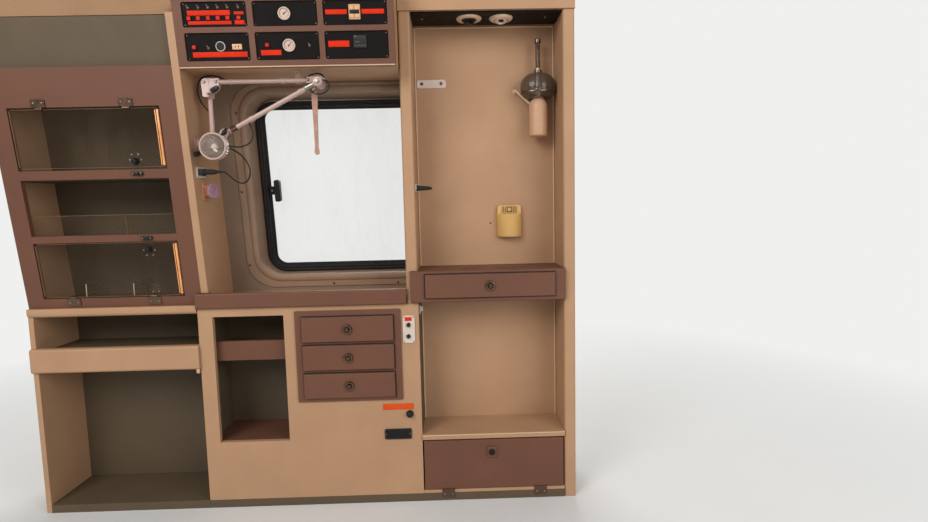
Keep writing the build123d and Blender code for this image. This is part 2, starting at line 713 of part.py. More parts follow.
# Clear flaps: hinge line height, latch edge height and the side of the hinge line they lie on
FLAPS = (
    # name, hinge z, free z
    ("upper_flap", UPPER_FLAP_BAY[1] - FLAP_GAP, UPPER_FLAP_BAY[0] + FLAP_GAP),
    ("lower_flap", LOWER_FLAP_BAY[0] + FLAP_GAP, LOWER_FLAP_BAY[1] - FLAP_GAP),
)
FLAP_X0 = CAB_X0 + STILE_W + FLAP_GAP
FLAP_X1 = PILLAR_X0 - STILE_W - FLAP_GAP
for flap_name, hinge_z, free_z in FLAPS:
    with BuildPart() as flap:
        low_z = min(hinge_z, free_z)
        high_z = max(hinge_z, free_z)
        sloping_plate(0, FLAP_X0, FLAP_X1, low_z, high_z, -FLAP_T, 4, -FLAP_SET)
    write(flap.part, flap_name)
    with BuildPart() as flap_knob:
        inward = 1 if free_z > hinge_z else -1
        knob_z = free_z - inward * 2 * FLAP_KNOB_R
        with BuildSketch(wall_plane(0).offset(GAP - FLAP_SET)) as knob_foot:
            with Locations((FLAP_X1 - CATCH_FROM_STILE + FLAP_GAP, up_slope(knob_z))):
                Circle(FLAP_KNOB_R)
        extrude(knob_foot.sketch, amount=16, taper=12)
        fillet(flap_knob.faces().sort_by(Axis.Y)[0].edges(), radius=3)
    write(flap_knob.part, f"{flap_name}_knob")

# Hinge leaves of both flaps on the frame's rails and of the hatch on its foot board, with round knuckles
with BuildPart() as flap_hinges:
    for hinge_low, hinge_top in (
        (FLAPS[0][1] + FLAP_GAP + GAP, FLAPS[0][1] + FLAP_GAP + 26),
        (FLAPS[1][1] - FLAP_GAP - 26, FLAPS[1][1] - FLAP_GAP - GAP),
    ):
        for hinge_x in (FLAP_X0 + CATCH_FROM_STILE, FLAP_X1 - CATCH_FROM_STILE):
            leaf_x = (hinge_x - HINGE_W / 2, hinge_x + HINGE_W / 2)
            sloping_plate(0, *leaf_x, hinge_low, hinge_top, HINGE_T, 2, GAP)
    for _, hinge_z, free_z in FLAPS:
        for hinge_x in (FLAP_X0 + CATCH_FROM_STILE, FLAP_X1 - CATCH_FROM_STILE):
            away = 1 if hinge_z > free_z else -1
            bridge = (hinge_z, hinge_z + away * (FLAP_GAP + 3))
            knuckle_x = (hinge_x - HINGE_W / 4, hinge_x + HINGE_W / 4)
            sloping_plate(0, *knuckle_x, min(bridge), max(bridge), HINGE_T, 0, GAP)
            pin_plane = wall_plane(0).offset(KNUCKLE_LIFT)
            pin_ends = [pin_plane.from_local_coords((x, up_slope(hinge_z), 0)).to_tuple() for x in knuckle_x]
            tube(*pin_ends, KNUCKLE_R)
    for hinge_x in (NICHE_X0 + 2 * HINGE_W, NICHE_X1 - 2 * HINGE_W):
        leaf_x = (hinge_x - HINGE_W / 2, hinge_x + HINGE_W / 2)
        slab(*leaf_x, -GAP - HINGE_T, -GAP, HATCH_LOW - HATCH_LEAF_H, HATCH_LOW)
        tube((leaf_x[0], -KNUCKLE_LIFT, HATCH_LOW), (leaf_x[1], -KNUCKLE_LIFT, HATCH_LOW), KNUCKLE_R)
write(flap_hinges.part, "flap_hinges")

# Plinth rails under the base cabinet and the column
with BuildPart() as plinth:
    plinth_back = COL_BACK_Y - GAP
    slab(BASE_X0, NICHE_X1 - GAP, PLINTH_SET, PLINTH_SET + BOARD, 0, PLINTH_H)
    slab(BASE_X0, NICHE_X1 - GAP, plinth_back - BOARD, plinth_back, 0, PLINTH_H)
    for cross_x in (BASE_X0, BASE_X1 - BOARD, NICHE_X1 - BOARD - GAP):
        slab(cross_x, cross_x + BOARD, PLINTH_SET, plinth_back, 0, PLINTH_H)
write(plinth.part, "plinth")

# Upright boards and back board of the base cabinet
BASE_INNER_Y = BOARD + GAP
DIVIDER_X0 = CUBBY_X1 + 12
UPRIGHT_TOP = BASE_TOP - GAP
with BuildPart() as base_uprights:
    for board_x in (BASE_X0, DIVIDER_X0, BASE_X1 - BOARD):
        slab(board_x, board_x + BOARD, BASE_INNER_Y, BASE_BACK_Y, PLINTH_H + GAP, UPRIGHT_TOP)
    slab(BASE_X0, BASE_X1, BASE_BACK_Y + GAP, BASE_BACK_Y + BACK_T, PLINTH_H + GAP, UPRIGHT_TOP)
write(base_uprights.part, "base_uprights")

# Level boards of the base cabinet: foot, cubby floor, the deck under the drawers and the cubby's lipped shelf
CUBBY_BOARD_X = (BASE_X0 + BOARD + GAP, DIVIDER_X0 - GAP)
DRAWER_BOARD_X = (DIVIDER_X0 + BOARD + GAP, BASE_X1 - BOARD - GAP)
with BuildPart() as base_shelves:
    for board_span, board_top in (
        (CUBBY_BOARD_X, PLINTH_H + GAP + BOARD),
        (DRAWER_BOARD_X, PLINTH_H + GAP + BOARD),
        (CUBBY_BOARD_X, CUBBY_LOW),
        (DRAWER_BOARD_X, SURROUND_LOW - 2),
    ):
        slab(*board_span, BASE_INNER_Y, BASE_BACK_Y - GAP, board_top - BOARD, board_top)
    shelf_top = SHELF_LIP_TOP - 2 * BOARD
    slab(*CUBBY_BOARD_X, CUBBY_LIP_SET, BASE_BACK_Y - GAP, shelf_top - BOARD, shelf_top)
    slab(*CUBBY_BOARD_X, CUBBY_LIP_SET, CUBBY_LIP_SET + BOARD, SHELF_LIP_LOW, SHELF_LIP_TOP)
write(base_shelves.part, "base_shelves")

TRAY_HOLE_IN = TRAY_SIDE - TRAY_CLEAR
TRAY_HOLE_X = (DRAWER_X0 + TRAY_HOLE_IN, DRAWER_X1 - TRAY_HOLE_IN)
DRAWER_LOWEST = DRAWER_TOP - (DRAWER_COUNT - 1) * DRAWER_PITCH - DRAWER_H

# Face of the base cabinet, cut for the cubby and for the drawers
with BuildPart() as base_face:
    with BuildSketch(Plane.XZ) as base_outline:
        with Locations(((BASE_X0 + BASE_X1) / 2, (PLINTH_H + UPRIGHT_TOP) / 2)):
            Rectangle(BASE_X1 - BASE_X0, UPRIGHT_TOP - PLINTH_H)
        for hole_x0, hole_x1, hole_low, hole_top in (
            (CUBBY_X0, CUBBY_X1, CUBBY_LOW, CUBBY_TOP),
            (*TRAY_HOLE_X, DRAWER_LOWEST + TRAY_HOLE_IN, DRAWER_TOP - TRAY_HOLE_IN),
        ):
            with Locations(((hole_x0 + hole_x1) / 2, (hole_low + hole_top) / 2)):
                Rectangle(hole_x1 - hole_x0, hole_top - hole_low, mode=Mode.SUBTRACT)
    extrude(base_outline.sketch, amount=-BOARD)
write(base_face.part, "base_face")

# Frame round the three drawers, standing proud of the cabinet's face
with BuildPart() as drawer_surround:
    with BuildSketch(Plane.XZ.offset(GAP)) as surround_outline:
        with Locations(((SURROUND_X0 + SURROUND_X1) / 2, (SURROUND_LOW + SURROUND_TOP) / 2)):
            RectangleRounded(SURROUND_X1 - SURROUND_X0, SURROUND_TOP - SURROUND_LOW, 4)
        for number in range(DRAWER_COUNT):
            hole_top = DRAWER_TOP - number * DRAWER_PITCH - TRAY_HOLE_IN
            hole_h = DRAWER_H - 2 * TRAY_HOLE_IN
            with Locations((sum(TRAY_HOLE_X) / 2, hole_top - hole_h / 2)):
                Rectangle(TRAY_HOLE_X[1] - TRAY_HOLE_X[0], hole_h, mode=Mode.SUBTRACT)
    extrude(surround_outline.sketch, amount=SURROUND_OUT)
write(drawer_surround.part, "drawer_surround")


def drawer_front(x0, x1, low, high, plane_y):
    """Flat drawer face with bevelled edges and a push lock at its middle: a ring about a button."""
    middle_x = (x0 + x1) / 2
    middle_z = (low + high) / 2
    half = DRAWER_FRONT_T / 2
    slab(x0, x1, plane_y - half + FRONT_EDGE, plane_y + half, low, high)
    with BuildSketch(Plane.XZ.offset(half - FRONT_EDGE - plane_y)) as face:
        with Locations((middle_x, middle_z)):
            Rectangle(x1 - x0, high - low)
    extrude(face.sketch, amount=FRONT_EDGE, taper=45)
    lock_plane = Plane(origin=(middle_x, plane_y, middle_z), x_dir=(1, 0, 0), z_dir=(0, 0, 1))
    with BuildSketch(lock_plane) as lock_profile:
        with BuildLine():
            Polyline(
                (0, 0),
                (LOCK_R, 0),
                (LOCK_R, -half - LOCK_RING_H / 2),
                (LOCK_R - 3, -half - LOCK_RING_H),
                (BUTTON_R + 3, -half - LOCK_RING_H),
                (BUTTON_R + 2, -half - 2),
                (BUTTON_R, -half - 2),
                (BUTTON_R, -half - LOCK_OUT + 2),
                (BUTTON_R - 2, -half - LOCK_OUT),
                (0, -half - LOCK_OUT),
                close=True,
            )
        make_face()
    revolve(lock_profile.sketch, axis=Axis((middle_x, plane_y, middle_z), (0, 1, 0)))


def drawer_tray(x0, x1, low, high, front_y, depth):
    """Open-topped tray behind a drawer's face."""
    slab(x0, x1, front_y, front_y + depth, low, high)
    inside = (x0 + TRAY_WALL, x1 - TRAY_WALL, front_y + TRAY_WALL, front_y + depth - TRAY_WALL)
    slab(*inside, low + TRAY_WALL, high + TRAY_WALL, Mode.SUBTRACT)


DRAWER_PLANE_Y = -DRAWER_FRONT_T / 2 - SURROUND_OUT - GAP - DRAWER_STOP
RUNNER_X = (DRAWER_X0 + TRAY_SIDE, DRAWER_X1 - TRAY_SIDE)
for number in range(DRAWER_COUNT):
    face_top = DRAWER_TOP - number * DRAWER_PITCH
    face_low = face_top - DRAWER_H
    with BuildPart() as drawer:
        drawer_front(DRAWER_X0, DRAWER_X1, face_low, face_top, DRAWER_PLANE_Y)
        tray_front = DRAWER_PLANE_Y + DRAWER_FRONT_T / 2
        drawer_tray(*RUNNER_X, face_low + TRAY_LOW, face_top - TRAY_DROP, tray_front, TRAY_DEPTH)
    write(drawer.part, f"drawer_{number + 1}")

# Runners that carry the three trays, with a cheek on the cabinet's side and a ledge under the tray
with BuildPart() as drawer_runners:
    runner_back = BASE_BACK_Y - GAP
    for number in range(DRAWER_COUNT):
        tray_low = DRAWER_TOP - number * DRAWER_PITCH - DRAWER_H + TRAY_LOW
        ledge_top = tray_low - RUNNER_CLEAR
        left = (DIVIDER_X0 + BOARD + GAP, RUNNER_X[0] + 2 * TRAY_WALL)
        right = (RUNNER_X[1] - 2 * TRAY_WALL, BASE_X1 - BOARD - GAP)
        for ledge_x in (left, right):
            slab(*ledge_x, BASE_INNER_Y, runner_back, ledge_top - 6, ledge_top)
write(drawer_runners.part, "drawer_runners")

# Worktop, set below the fascia's raised lip
with BuildPart() as worktop:
    slab(BASE_X0, COL_X0 - GAP, FASCIA_T - FASCIA_OUT + GAP, WORKTOP_BACK, BASE_TOP, WORKTOP_Z)
write(worktop.part, "worktop")

# Fascia along the worktop, rounded above and below
with BuildPart() as worktop_fascia:
    slab(BASE_X0, FASCIA_X1, -FASCIA_OUT, FASCIA_T - FASCIA_OUT, FASCIA_LOW, FASCIA_TOP)
    fillet(worktop_fascia.edges().filter_by(Axis.X), radius=6)
write(worktop_fascia.part, "worktop_fascia")

# White plate with two switch knobs beside the drawers
with BuildPart() as control_plate:
    with BuildSketch(Plane.XZ.offset(GAP)) as plate_outline:
        with Locations(((PLATE_X0 + PLATE_X1) / 2, (PLATE_LOW + PLATE_TOP) / 2)):
            RectangleRounded(PLATE_X1 - PLATE_X0, PLATE_TOP - PLATE_LOW, 4)
    extrude(plate_outline.sketch, amount=PLATE_T)
    chamfer(control_plate.faces().sort_by(Axis.Y)[0].edges(), length=1)
    for knob_z in ((PLATE_LOW + PLATE_TOP) / 2 - 2, (PLATE_LOW + PLATE_TOP) / 2 - 38):
        knob_at = ((PLATE_X0 + PLATE_X1) / 2 + 3, knob_z)
        with BuildSketch(Plane.XZ.offset(PLATE_T + GAP)) as switch_knob:
            with Locations(knob_at):
                Circle(8)
        extrude(switch_knob.sketch, amount=14, taper=8)
write(control_plate.part, "control_plate")

# Louvred vent below the drawers: a shallow tray with level blades
VENT_X0 = 273
VENT_X1 = 371
VENT_LOW = 245
VENT_TOP = 283
with BuildPart() as vent:
    with BuildSketch(Plane.XZ.offset(GAP)) as vent_outline:
        with Locations(((VENT_X0 + VENT_X1) / 2, (VENT_LOW + VENT_TOP) / 2)):
            RectangleRounded(VENT_X1 - VENT_X0, VENT_TOP - VENT_LOW, 4)
            for blade in range(4):
                with Locations((0, (blade - 1.5) * 8)):
                    SlotOverall(VENT_X1 - VENT_X0 - 14, 5, mode=Mode.SUBTRACT)
    extrude(vent_outline.sketch, amount=5)
    with BuildSketch(Plane.XZ.offset(GAP)) as vent_back:
        with Locations(((VENT_X0 + VENT_X1) / 2, (VENT_LOW + VENT_TOP) / 2)):
            RectangleRounded(VENT_X1 - VENT_X0 - 4, VENT_TOP - VENT_LOW - 4, 3)
    extrude(vent_back.sketch, amount=2)
write(vent.part, "vent")

# Upright boards of the column, with rounded front edges
with BuildPart() as column_uprights:
    column_deep = COL_BACK_Y - GAP
    slab(COL_X0, NICHE_X0, 0, column_deep, BASE_TOP + GAP, NICHE_TOP)
    slab(NICHE_X1, COL_X1, 0, column_deep, 0, NICHE_TOP)
    fillet(column_uprights.edges().filter_by(Axis.Z).group_by(Axis.Y)[0], radius=POST_ROUND)
    housing_side = (HOUSING_X0 - GAP, NICHE_X0 + 1, -1, HOUSING_FRAME_T - HOUSING_OUT + GAP)
    slab(*housing_side, HOUSING_LOW - GAP, HOUSING_TOP + GAP, Mode.SUBTRACT)
    housing_side = (NICHE_X1 - 1, HOUSING_X1 + GAP, -1, HOUSING_FRAME_T - HOUSING_OUT + GAP)
    slab(*housing_side, HOUSING_LOW - GAP, HOUSING_TOP + GAP, Mode.SUBTRACT)
write(column_uprights.part, "column_uprights")

# Back of the column
with BuildPart() as column_back:
    slab(NICHE_X0 + GAP, COL_X1, COL_BACK_Y, COL_BACK_Y + COL_BACK_T, PLINTH_H + GAP, NICHE_TOP)
    slab(COL_X0, NICHE_X0 + GAP, COL_BACK_Y, COL_BACK_Y + COL_BACK_T, WORKTOP_Z + GAP, NICHE_TOP)
write(column_back.part, "column_back")

# Floor of the lower niche, with a rounded lip, and the foot board below it
with BuildPart() as column_ledge:
    slab(NICHE_X0 + GAP, NICHE_X1 - GAP, -6, COL_BACK_Y - GAP, LEDGE_LOW, LEDGE_TOP)
    fillet(column_ledge.edges().filter_by(Axis.X).group_by(Axis.Y)[0], radius=5)
    slab(NICHE_X0 + GAP, NICHE_X1 - GAP, 0, COL_BACK_Y - GAP, PLINTH_H + GAP, HATCH_LOW - GAP)
write(column_ledge.part, "column_ledge")

# Housing of the wide drawer: a proud frame with a top, a bottom and two cheeks behind it
with BuildPart() as drawer_housing:
    slab(HOUSING_X0, HOUSING_X1, -HOUSING_OUT, HOUSING_FRAME_T - HOUSING_OUT, HOUSING_LOW, HOUSING_TOP)
    fillet(drawer_housing.edges().filter_by(Axis.X).group_by(Axis.Y)[0], radius=5)
    behind = (HOUSING_FRAME_T - HOUSING_OUT - 1, COL_BACK_Y - GAP)
    slab(NICHE_X0 + GAP, NICHE_X1 - GAP, *behind, HOUSING_LOW, HOUSING_TOP)
    drawer_hole = (WIDE_X0 + TRAY_HOLE_IN, WIDE_X1 - TRAY_HOLE_IN, -2 * HOUSING_OUT, COL_BACK_Y - TRAY_WALL)
    slab(*drawer_hole, WIDE_LOW + TRAY_HOLE_IN, WIDE_TOP - TRAY_HOLE_IN, Mode.SUBTRACT)
write(drawer_housing.part, "drawer_housing")

WIDE_PLANE_Y = -DRAWER_FRONT_T / 2 - HOUSING_OUT - DRAWER_STOP
WIDE_DEPTH = COL_BACK_Y - 6
with BuildPart() as wide_drawer:
    drawer_front(WIDE_X0, WIDE_X1, WIDE_LOW, WIDE_TOP, WIDE_PLANE_Y)
    wide_tray_y = WIDE_PLANE_Y + DRAWER_FRONT_T / 2
    wide_tray_x = (WIDE_X0 + TRAY_SIDE, WIDE_X1 - TRAY_SIDE)
    tray_floor = WIDE_LOW + TRAY_HOLE_IN + RUNNER_CLEAR
    drawer_tray(*wide_tray_x, tray_floor, WIDE_TOP - TRAY_DROP, wide_tray_y, WIDE_DEPTH)
write(wide_drawer.part, "wide_drawer")

# Dark hatch below the lower niche, with its latch pad and hinge pin line at the foot
HATCH_TOP = LEDGE_LOW - HATCH_GAP
with BuildPart() as lower_hatch:
    slab(NICHE_X0 + HATCH_GAP, NICHE_X1 - HATCH_GAP, 0, HATCH_T, HATCH_LOW, HATCH_TOP)
    fillet(lower_hatch.edges().filter_by(Axis.X).group_by(Axis.Y)[0], radius=4)
    with BuildSketch(Plane.XZ) as latch_outline:
        with Locations((LATCH_PAD_X, LATCH_PAD_Z)):
            RectangleRounded(LATCH_PAD_W, LATCH_PAD_H, 6)
    extrude(latch_outline.sketch, amount=9)
    fillet(lower_hatch.faces().sort_by(Axis.Y)[0].edges(), radius=2)
write(lower_hatch.part, "lower_hatch")

# Black plate under the niche's ceiling and its two spot lamps
with BuildPart() as ceiling_plate:
    plate_y = (8, COL_BACK_Y - CEILING_PLATE_SHORT)
    slab(NICHE_X0 + 2, NICHE_X1 - 2, *plate_y, NICHE_TOP - CEILING_PLATE_T, NICHE_TOP)
write(ceiling_plate.part, "ceiling_plate")

with BuildPart() as spot_lamps:
    for spot_x, spot_y, spot_r, ring_h in SPOTS:
        ring_top = NICHE_TOP - CEILING_PLATE_T - GAP
        eye_r = spot_r * 0.55
        with BuildSketch(Plane((spot_x, spot_y, ring_top), x_dir=(1, 0, 0), z_dir=(0, -1, 0))) as spot:
            with BuildLine():
                Polyline(
                    (0, 0),
                    (spot_r, 0),
                    (spot_r - 2, -ring_h + 2),
                    (spot_r - 8, -ring_h),
                    (eye_r + 3, -ring_h + 5),
                    (eye_r, -ring_h + 2),
                    (eye_r * 0.8, -ring_h - 3),
                    (eye_r * 0.45, -ring_h - 6),
                    (0, -ring_h - 7),
                    close=True,
                )
            make_face()
        revolve(spot.sketch, axis=Axis((spot_x, spot_y, 0), (0, 0, 1)))
write(spot_lamps.part, "spot_lamps")

# Half-round holder on the niche's back: an open pot with a gridded hood behind it
with BuildPart() as wall_holder:
    holder_back = COL_BACK_Y - GAP
    with BuildSketch(Plane.XY.offset(HOLDER_LOW)) as pot:
        with Locations((HOLDER_X, holder_back)):
            Circle(HOLDER_R)
            Rectangle(2 * HOLDER_R, HOLDER_R, align=(Align.CENTER, Align.MIN), mode=Mode.SUBTRACT)
    extrude(pot.sketch, amount=HOLDER_TOP - HOLDER_LOW)
    with BuildSketch(Plane.XY.offset(HOLDER_LOW + HOLDER_WALL)) as pot_inside:
        with Locations((HOLDER_X, holder_back - HOLDER_WALL)):
            Circle(HOLDER_R - HOLDER_WALL)
            Rectangle(2 * HOLDER_R, HOLDER_R, align=(Align.CENTER, Align.MIN), mode=Mode.SUBTRACT)
    extrude(pot_inside.sketch, amount=HOLDER_TOP - HOLDER_LOW, mode=Mode.SUBTRACT)
    hood = (HOLDER_X - 30, HOLDER_X + 30, holder_back - 16, holder_back)
    slab(*hood, HOLDER_TOP - HOLDER_WALL, HOLDER_TOP + 34)
write(wall_holder.part, "wall_holder")

# Flow meter in the niche's corner: back block, tube with cap, ring and cone
with BuildPart() as flow_meter:
    slab(FLOW_X - 16, FLOW_X + 16, FLOW_Y, COL_BACK_Y - GAP, DOME_Z - 20, DOME_Z + 10)
    tube((FLOW_X, FLOW_Y, DOME_Z), (FLOW_X, FLOW_Y, FLOW_TOP - 24), FLOW_TUBE_R)
    tube((FLOW_X, FLOW_Y, FLOW_TOP - 24), (FLOW_X, FLOW_Y, FLOW_TOP), FLOW_TUBE_R + 2)
    with BuildSketch(Plane.XY.offset(BOTTLE_TOP + 4)) as cone_foot:
        with Locations((FLOW_X, FLOW_Y)):
            Circle(BOTTLE_R - 6)
    with BuildSketch(Plane.XY.offset(DOME_Z)) as cone_top:
        with Locations((FLOW_X, FLOW_Y)):
            Circle(FLOW_TUBE_R)
    loft([cone_foot.sketch, cone_top.sketch])
    tube((FLOW_X, FLOW_Y, BOTTLE_TOP - 20), (FLOW_X, FLOW_Y, BOTTLE_TOP + 5), BOTTLE_R - 6)
write(flow_meter.part, "flow_meter")

# Clear domed cover about the meter's foot
with BuildPart() as flow_dome:
    with BuildSketch(Plane.XZ.offset(-FLOW_Y)) as dome_profile:
        with BuildLine():
            Polyline(
                (FLOW_X + FLOW_TUBE_R + GAP, DOME_Z + DOME_H),
                (FLOW_X + 0.48 * DOME_R, DOME_Z + 0.88 * DOME_H),
                (FLOW_X + 0.84 * DOME_R, DOME_Z + 0.52 * DOME_H),
                (FLOW_X + DOME_R, DOME_Z),
                (FLOW_X + DOME_R, DOME_Z - DOME_RIM),
                (FLOW_X + DOME_R - DOME_WALL, DOME_Z - DOME_RIM),
                (FLOW_X + DOME_R - DOME_WALL, DOME_Z),
                (FLOW_X + 0.84 * DOME_R - DOME_WALL, DOME_Z + 0.5 * DOME_H),
                (FLOW_X + 0.46 * DOME_R, DOME_Z + 0.83 * DOME_H),
                (FLOW_X + FLOW_TUBE_R + GAP, DOME_Z + DOME_H - DOME_WALL),
                close=True,
            )
        make_face()
    revolve(dome_profile.sketch, axis=Axis((FLOW_X, FLOW_Y, 0), (0, 0, 1)))
    slab(FLOW_X - 17, FLOW_X + 17, FLOW_Y + 1, COL_BACK_Y, DOME_Z - 22, DOME_Z + 12, Mode.SUBTRACT)
write(flow_dome.part, "flow_dome")

# Humidifier bottle below the meter
with BuildPart() as flow_bottle:
    with BuildSketch(Plane.XZ.offset(-FLOW_Y)) as bottle_profile:
        with BuildLine():
            Polyline(
                (FLOW_X, BOTTLE_LOW),
                (FLOW_X + BOTTLE_R - 5, BOTTLE_LOW),
                (FLOW_X + BOTTLE_R, BOTTLE_LOW + 5),
                (FLOW_X + BOTTLE_R, BOTTLE_TOP - 26),
                (FLOW_X + BOTTLE_R - 5, BOTTLE_TOP - 21),
                (FLOW_X, BOTTLE_TOP - 20 - GAP),
                close=True,
            )
        make_face()
    revolve(bottle_profile.sketch, axis=Axis((FLOW_X, FLOW_Y, 0), (0, 0, 1)))
write(flow_bottle.part, "flow_bottle")

# Small fixings in the niche: the metal strip, the rod beside the meter and the catches
with BuildPart() as niche_fittings:
    with BuildSketch(Plane.XZ.offset(-COL_BACK_Y + GAP)) as strip_outline:
        with Locations(((STRIP_X0 + STRIP_X1) / 2, STRIP_Z)):
            RectangleRounded(STRIP_X1 - STRIP_X0, 26, 6)
            with GridLocations(STRIP_X1 - STRIP_X0 - 28, 1, 2, 1):
                Circle(4, mode=Mode.SUBTRACT)
    extrude(strip_outline.sketch, amount=3)
    slab(NICHE_X0 + GAP, NICHE_X0 + 5, 6, 44, NICHE_CLIP_Z - 16, NICHE_CLIP_Z + 16)
    slab(NICHE_X0 + 4, NICHE_X0 + 60, 16, 28, NICHE_CLIP_Z - 6, NICHE_CLIP_Z + 6)
    catch_z = (NICHE_CATCH_Z - NICHE_CATCH_H, NICHE_CATCH_Z + NICHE_CATCH_H)
    slab(NICHE_X0 + GAP, NICHE_X0 + 12, 50, 68, *catch_z)
    tube((FLOW_X - 92, COL_BACK_Y - GAP, DOME_Z - 6), (FLOW_X - 92, COL_BACK_Y - 26, DOME_Z - 6), 6)
    tube((FLOW_X - 92, COL_BACK_Y - 22, DOME_Z - 6), (FLOW_X - 58, COL_BACK_Y - 22, DOME_Z - 38), 4)
write(niche_fittings.part, "niche_fittings")

# Console frame on the sloping plane, open at six rounded bays
with BuildPart() as console_frame:
    frame_x = (CONSOLE_X0 + GAP, MODULE_RIGHT + MODULE_W + MODULE_SIDE)
    sloping_plate(0, *frame_x, CONSOLE_LOW, CONSOLE_TOP, -CONSOLE_T)
    for module_x in MODULE_X.values():
        for module_low, module_top in MODULE_ROWS.values():
            bay = (module_x, module_x + MODULE_W, module_low, module_top)
            sloping_cut(0, *bay, 2 * CONSOLE_T, MODULE_R)
write(console_frame.part, "console_frame")

# Six dark module plates set into the bays
with BuildPart() as console_modules:
    for module_x in MODULE_X.values():
        for module_low, module_top in MODULE_ROWS.values():
            plate_x = (module_x + GAP, module_x + MODULE_W - GAP)
            plate_z = (module_low + GAP, module_top - GAP)
            sloping_plate(0, *plate_x, *plate_z, -MODULE_T, MODULE_R, -MODULE_SET)
write(console_modules.part, "console_modules")


def module_face(lift):
    """Plane of the modules' faces, raised by a lift towards the room."""
    return wall_plane(0).offset(lift + GAP - MODULE_SET)


# Rocker switches and pilot lamps
with BuildPart() as console_switches:
    for column, row, across, up in SWITCHES:
        with BuildSketch(module_face(0)) as rocker:
            with Locations(module_point(column, row, across, up)):
                RectangleRounded(SWITCH_W, SWITCH_H, 2)
        extrude(rocker.sketch, amount=SWITCH_OUT, taper=12)
write(console_switches.part, "console_switches")

# Round gauges with a rim about a sunken dial, sockets, key switches and small panels
with BuildPart() as console_instruments:
    for column, row, across, up in DIALS:
        with BuildSketch(module_face(0)) as rim:
            with Locations(module_point(column, row, across, up)):
                Circle(DIAL_R)
        extrude(rim.sketch, amount=DIAL_OUT, taper=10)
        with BuildSketch(module_face(DIAL_OUT)) as dial:
            with Locations(module_point(column, row, across, up)):
                Circle(DIAL_R - 4)
        extrude(dial.sketch, amount=-2, mode=Mode.SUBTRACT)
    for column, row, across, up, radius in SOCKETS:
        with BuildSketch(module_face(0)) as outlet:
            with Locations(module_point(column, row, across, up)):
                Circle(radius)
        extrude(outlet.sketch, amount=SOCKET_OUT, taper=8)
    for column, row, across, up, width, height in PANELS:
        with BuildSketch(module_face(0)) as small_panel:
            with Locations(module_point(column, row, across, up)):
                RectangleRounded(width, height, 2)
        extrude(small_panel.sketch, amount=PANEL_OUT)
write(console_instruments.part, "console_instruments")

# Top, right cheek and soffit of the console
with BuildPart() as console_housing:
    top_y = (lean_y(FACE_BACK, HEIGHT - BOARD), lean_y(SKIN_IN - GAP, HEIGHT))
    slab(CONSOLE_X0 + GAP, CONSOLE_X1, *top_y, HEIGHT - BOARD, HEIGHT)
    cheek_corners = (
        (lean_y(FACE_BACK, CONSOLE_LOW + SOFFIT_T), CONSOLE_LOW + SOFFIT_T + GAP),
        (lean_y(FACE_BACK, HEIGHT - BOARD), HEIGHT - BOARD - GAP),
        (lean_y(SKIN_IN, HEIGHT) - RAIL_D - GAP, HEIGHT - BOARD - GAP),
        (lean_y(SKIN_IN, HEIGHT) - RAIL_D - GAP, CONSOLE_LOW + SOFFIT_T + GAP),
    )
    side_profile(CONSOLE_X1 - BOARD, CONSOLE_X1, cheek_corners)
    soffit_front = lean_y(FACE_BACK, CONSOLE_LOW)
    soffit_y = (soffit_front, lean_y(LINING_Y, CONSOLE_LOW + SOFFIT_T) - GAP)
    slab(CONSOLE_X0 + GAP, CONSOLE_X1, *soffit_y, CONSOLE_LOW, CONSOLE_LOW + SOFFIT_T)
write(console_housing.part, "console_housing")

# Hook with a round buffer on the pillar's side, and the clip on the soffit beside the stowed boom
with BuildPart() as wall_hooks:
    hook_y = LAMP_Y + 25
    slab(PILLAR_X1 + GAP, PILLAR_X1 + 5, hook_y - 12, hook_y + 12, HOOK_Z - 30, HOOK_Z + 28)
    slab(PILLAR_X1 + 4, PILLAR_X1 + 44, hook_y - 5, hook_y + 5, HOOK_Z - 6, HOOK_Z + 6)
    tube((PILLAR_X1 + 40, hook_y, HOOK_Z), (PILLAR_X1 + 50, hook_y, HOOK_Z), HOOK_R)
    clip_x = (CLIP_X - 8, CLIP_X + 8)
    clip_top = CONSOLE_LOW - GAP
    slab(*clip_x, BOOM_Y + TUBE_R + 4, BOOM_Y + TUBE_R + 7, BOOM_Z - 8, clip_top)
    slab(*clip_x, BOOM_Y - TUBE_R, BOOM_Y + TUBE_R + 7, clip_top - 4, clip_top)
write(wall_hooks.part, "wall_hooks")

# Lamp mount on the pillar's side: foot plate, bracket and the upright socket of the riser
with BuildPart() as lamp_mount:
    slab(PILLAR_X1 + GAP, PILLAR_X1 + 6, LAMP_Y - 24, LAMP_Y + 24, MOUNT_LOW - 12, MOUNT_TOP + 8)
    slab(PILLAR_X1 + 5, LAMP_X, LAMP_Y - 12, LAMP_Y + 12, MOUNT_LOW, MOUNT_TOP - 4)
    tube((LAMP_X, LAMP_Y, MOUNT_LOW), (LAMP_X, LAMP_Y, MOUNT_TOP), MOUNT_R)
    tube((LAMP_X - 8, LAMP_Y, MOUNT_LOW - 1), (LAMP_X - 46, LAMP_Y - 4, MOUNT_LOW - 12), 6)
write(lamp_mount.part, "lamp_mount")

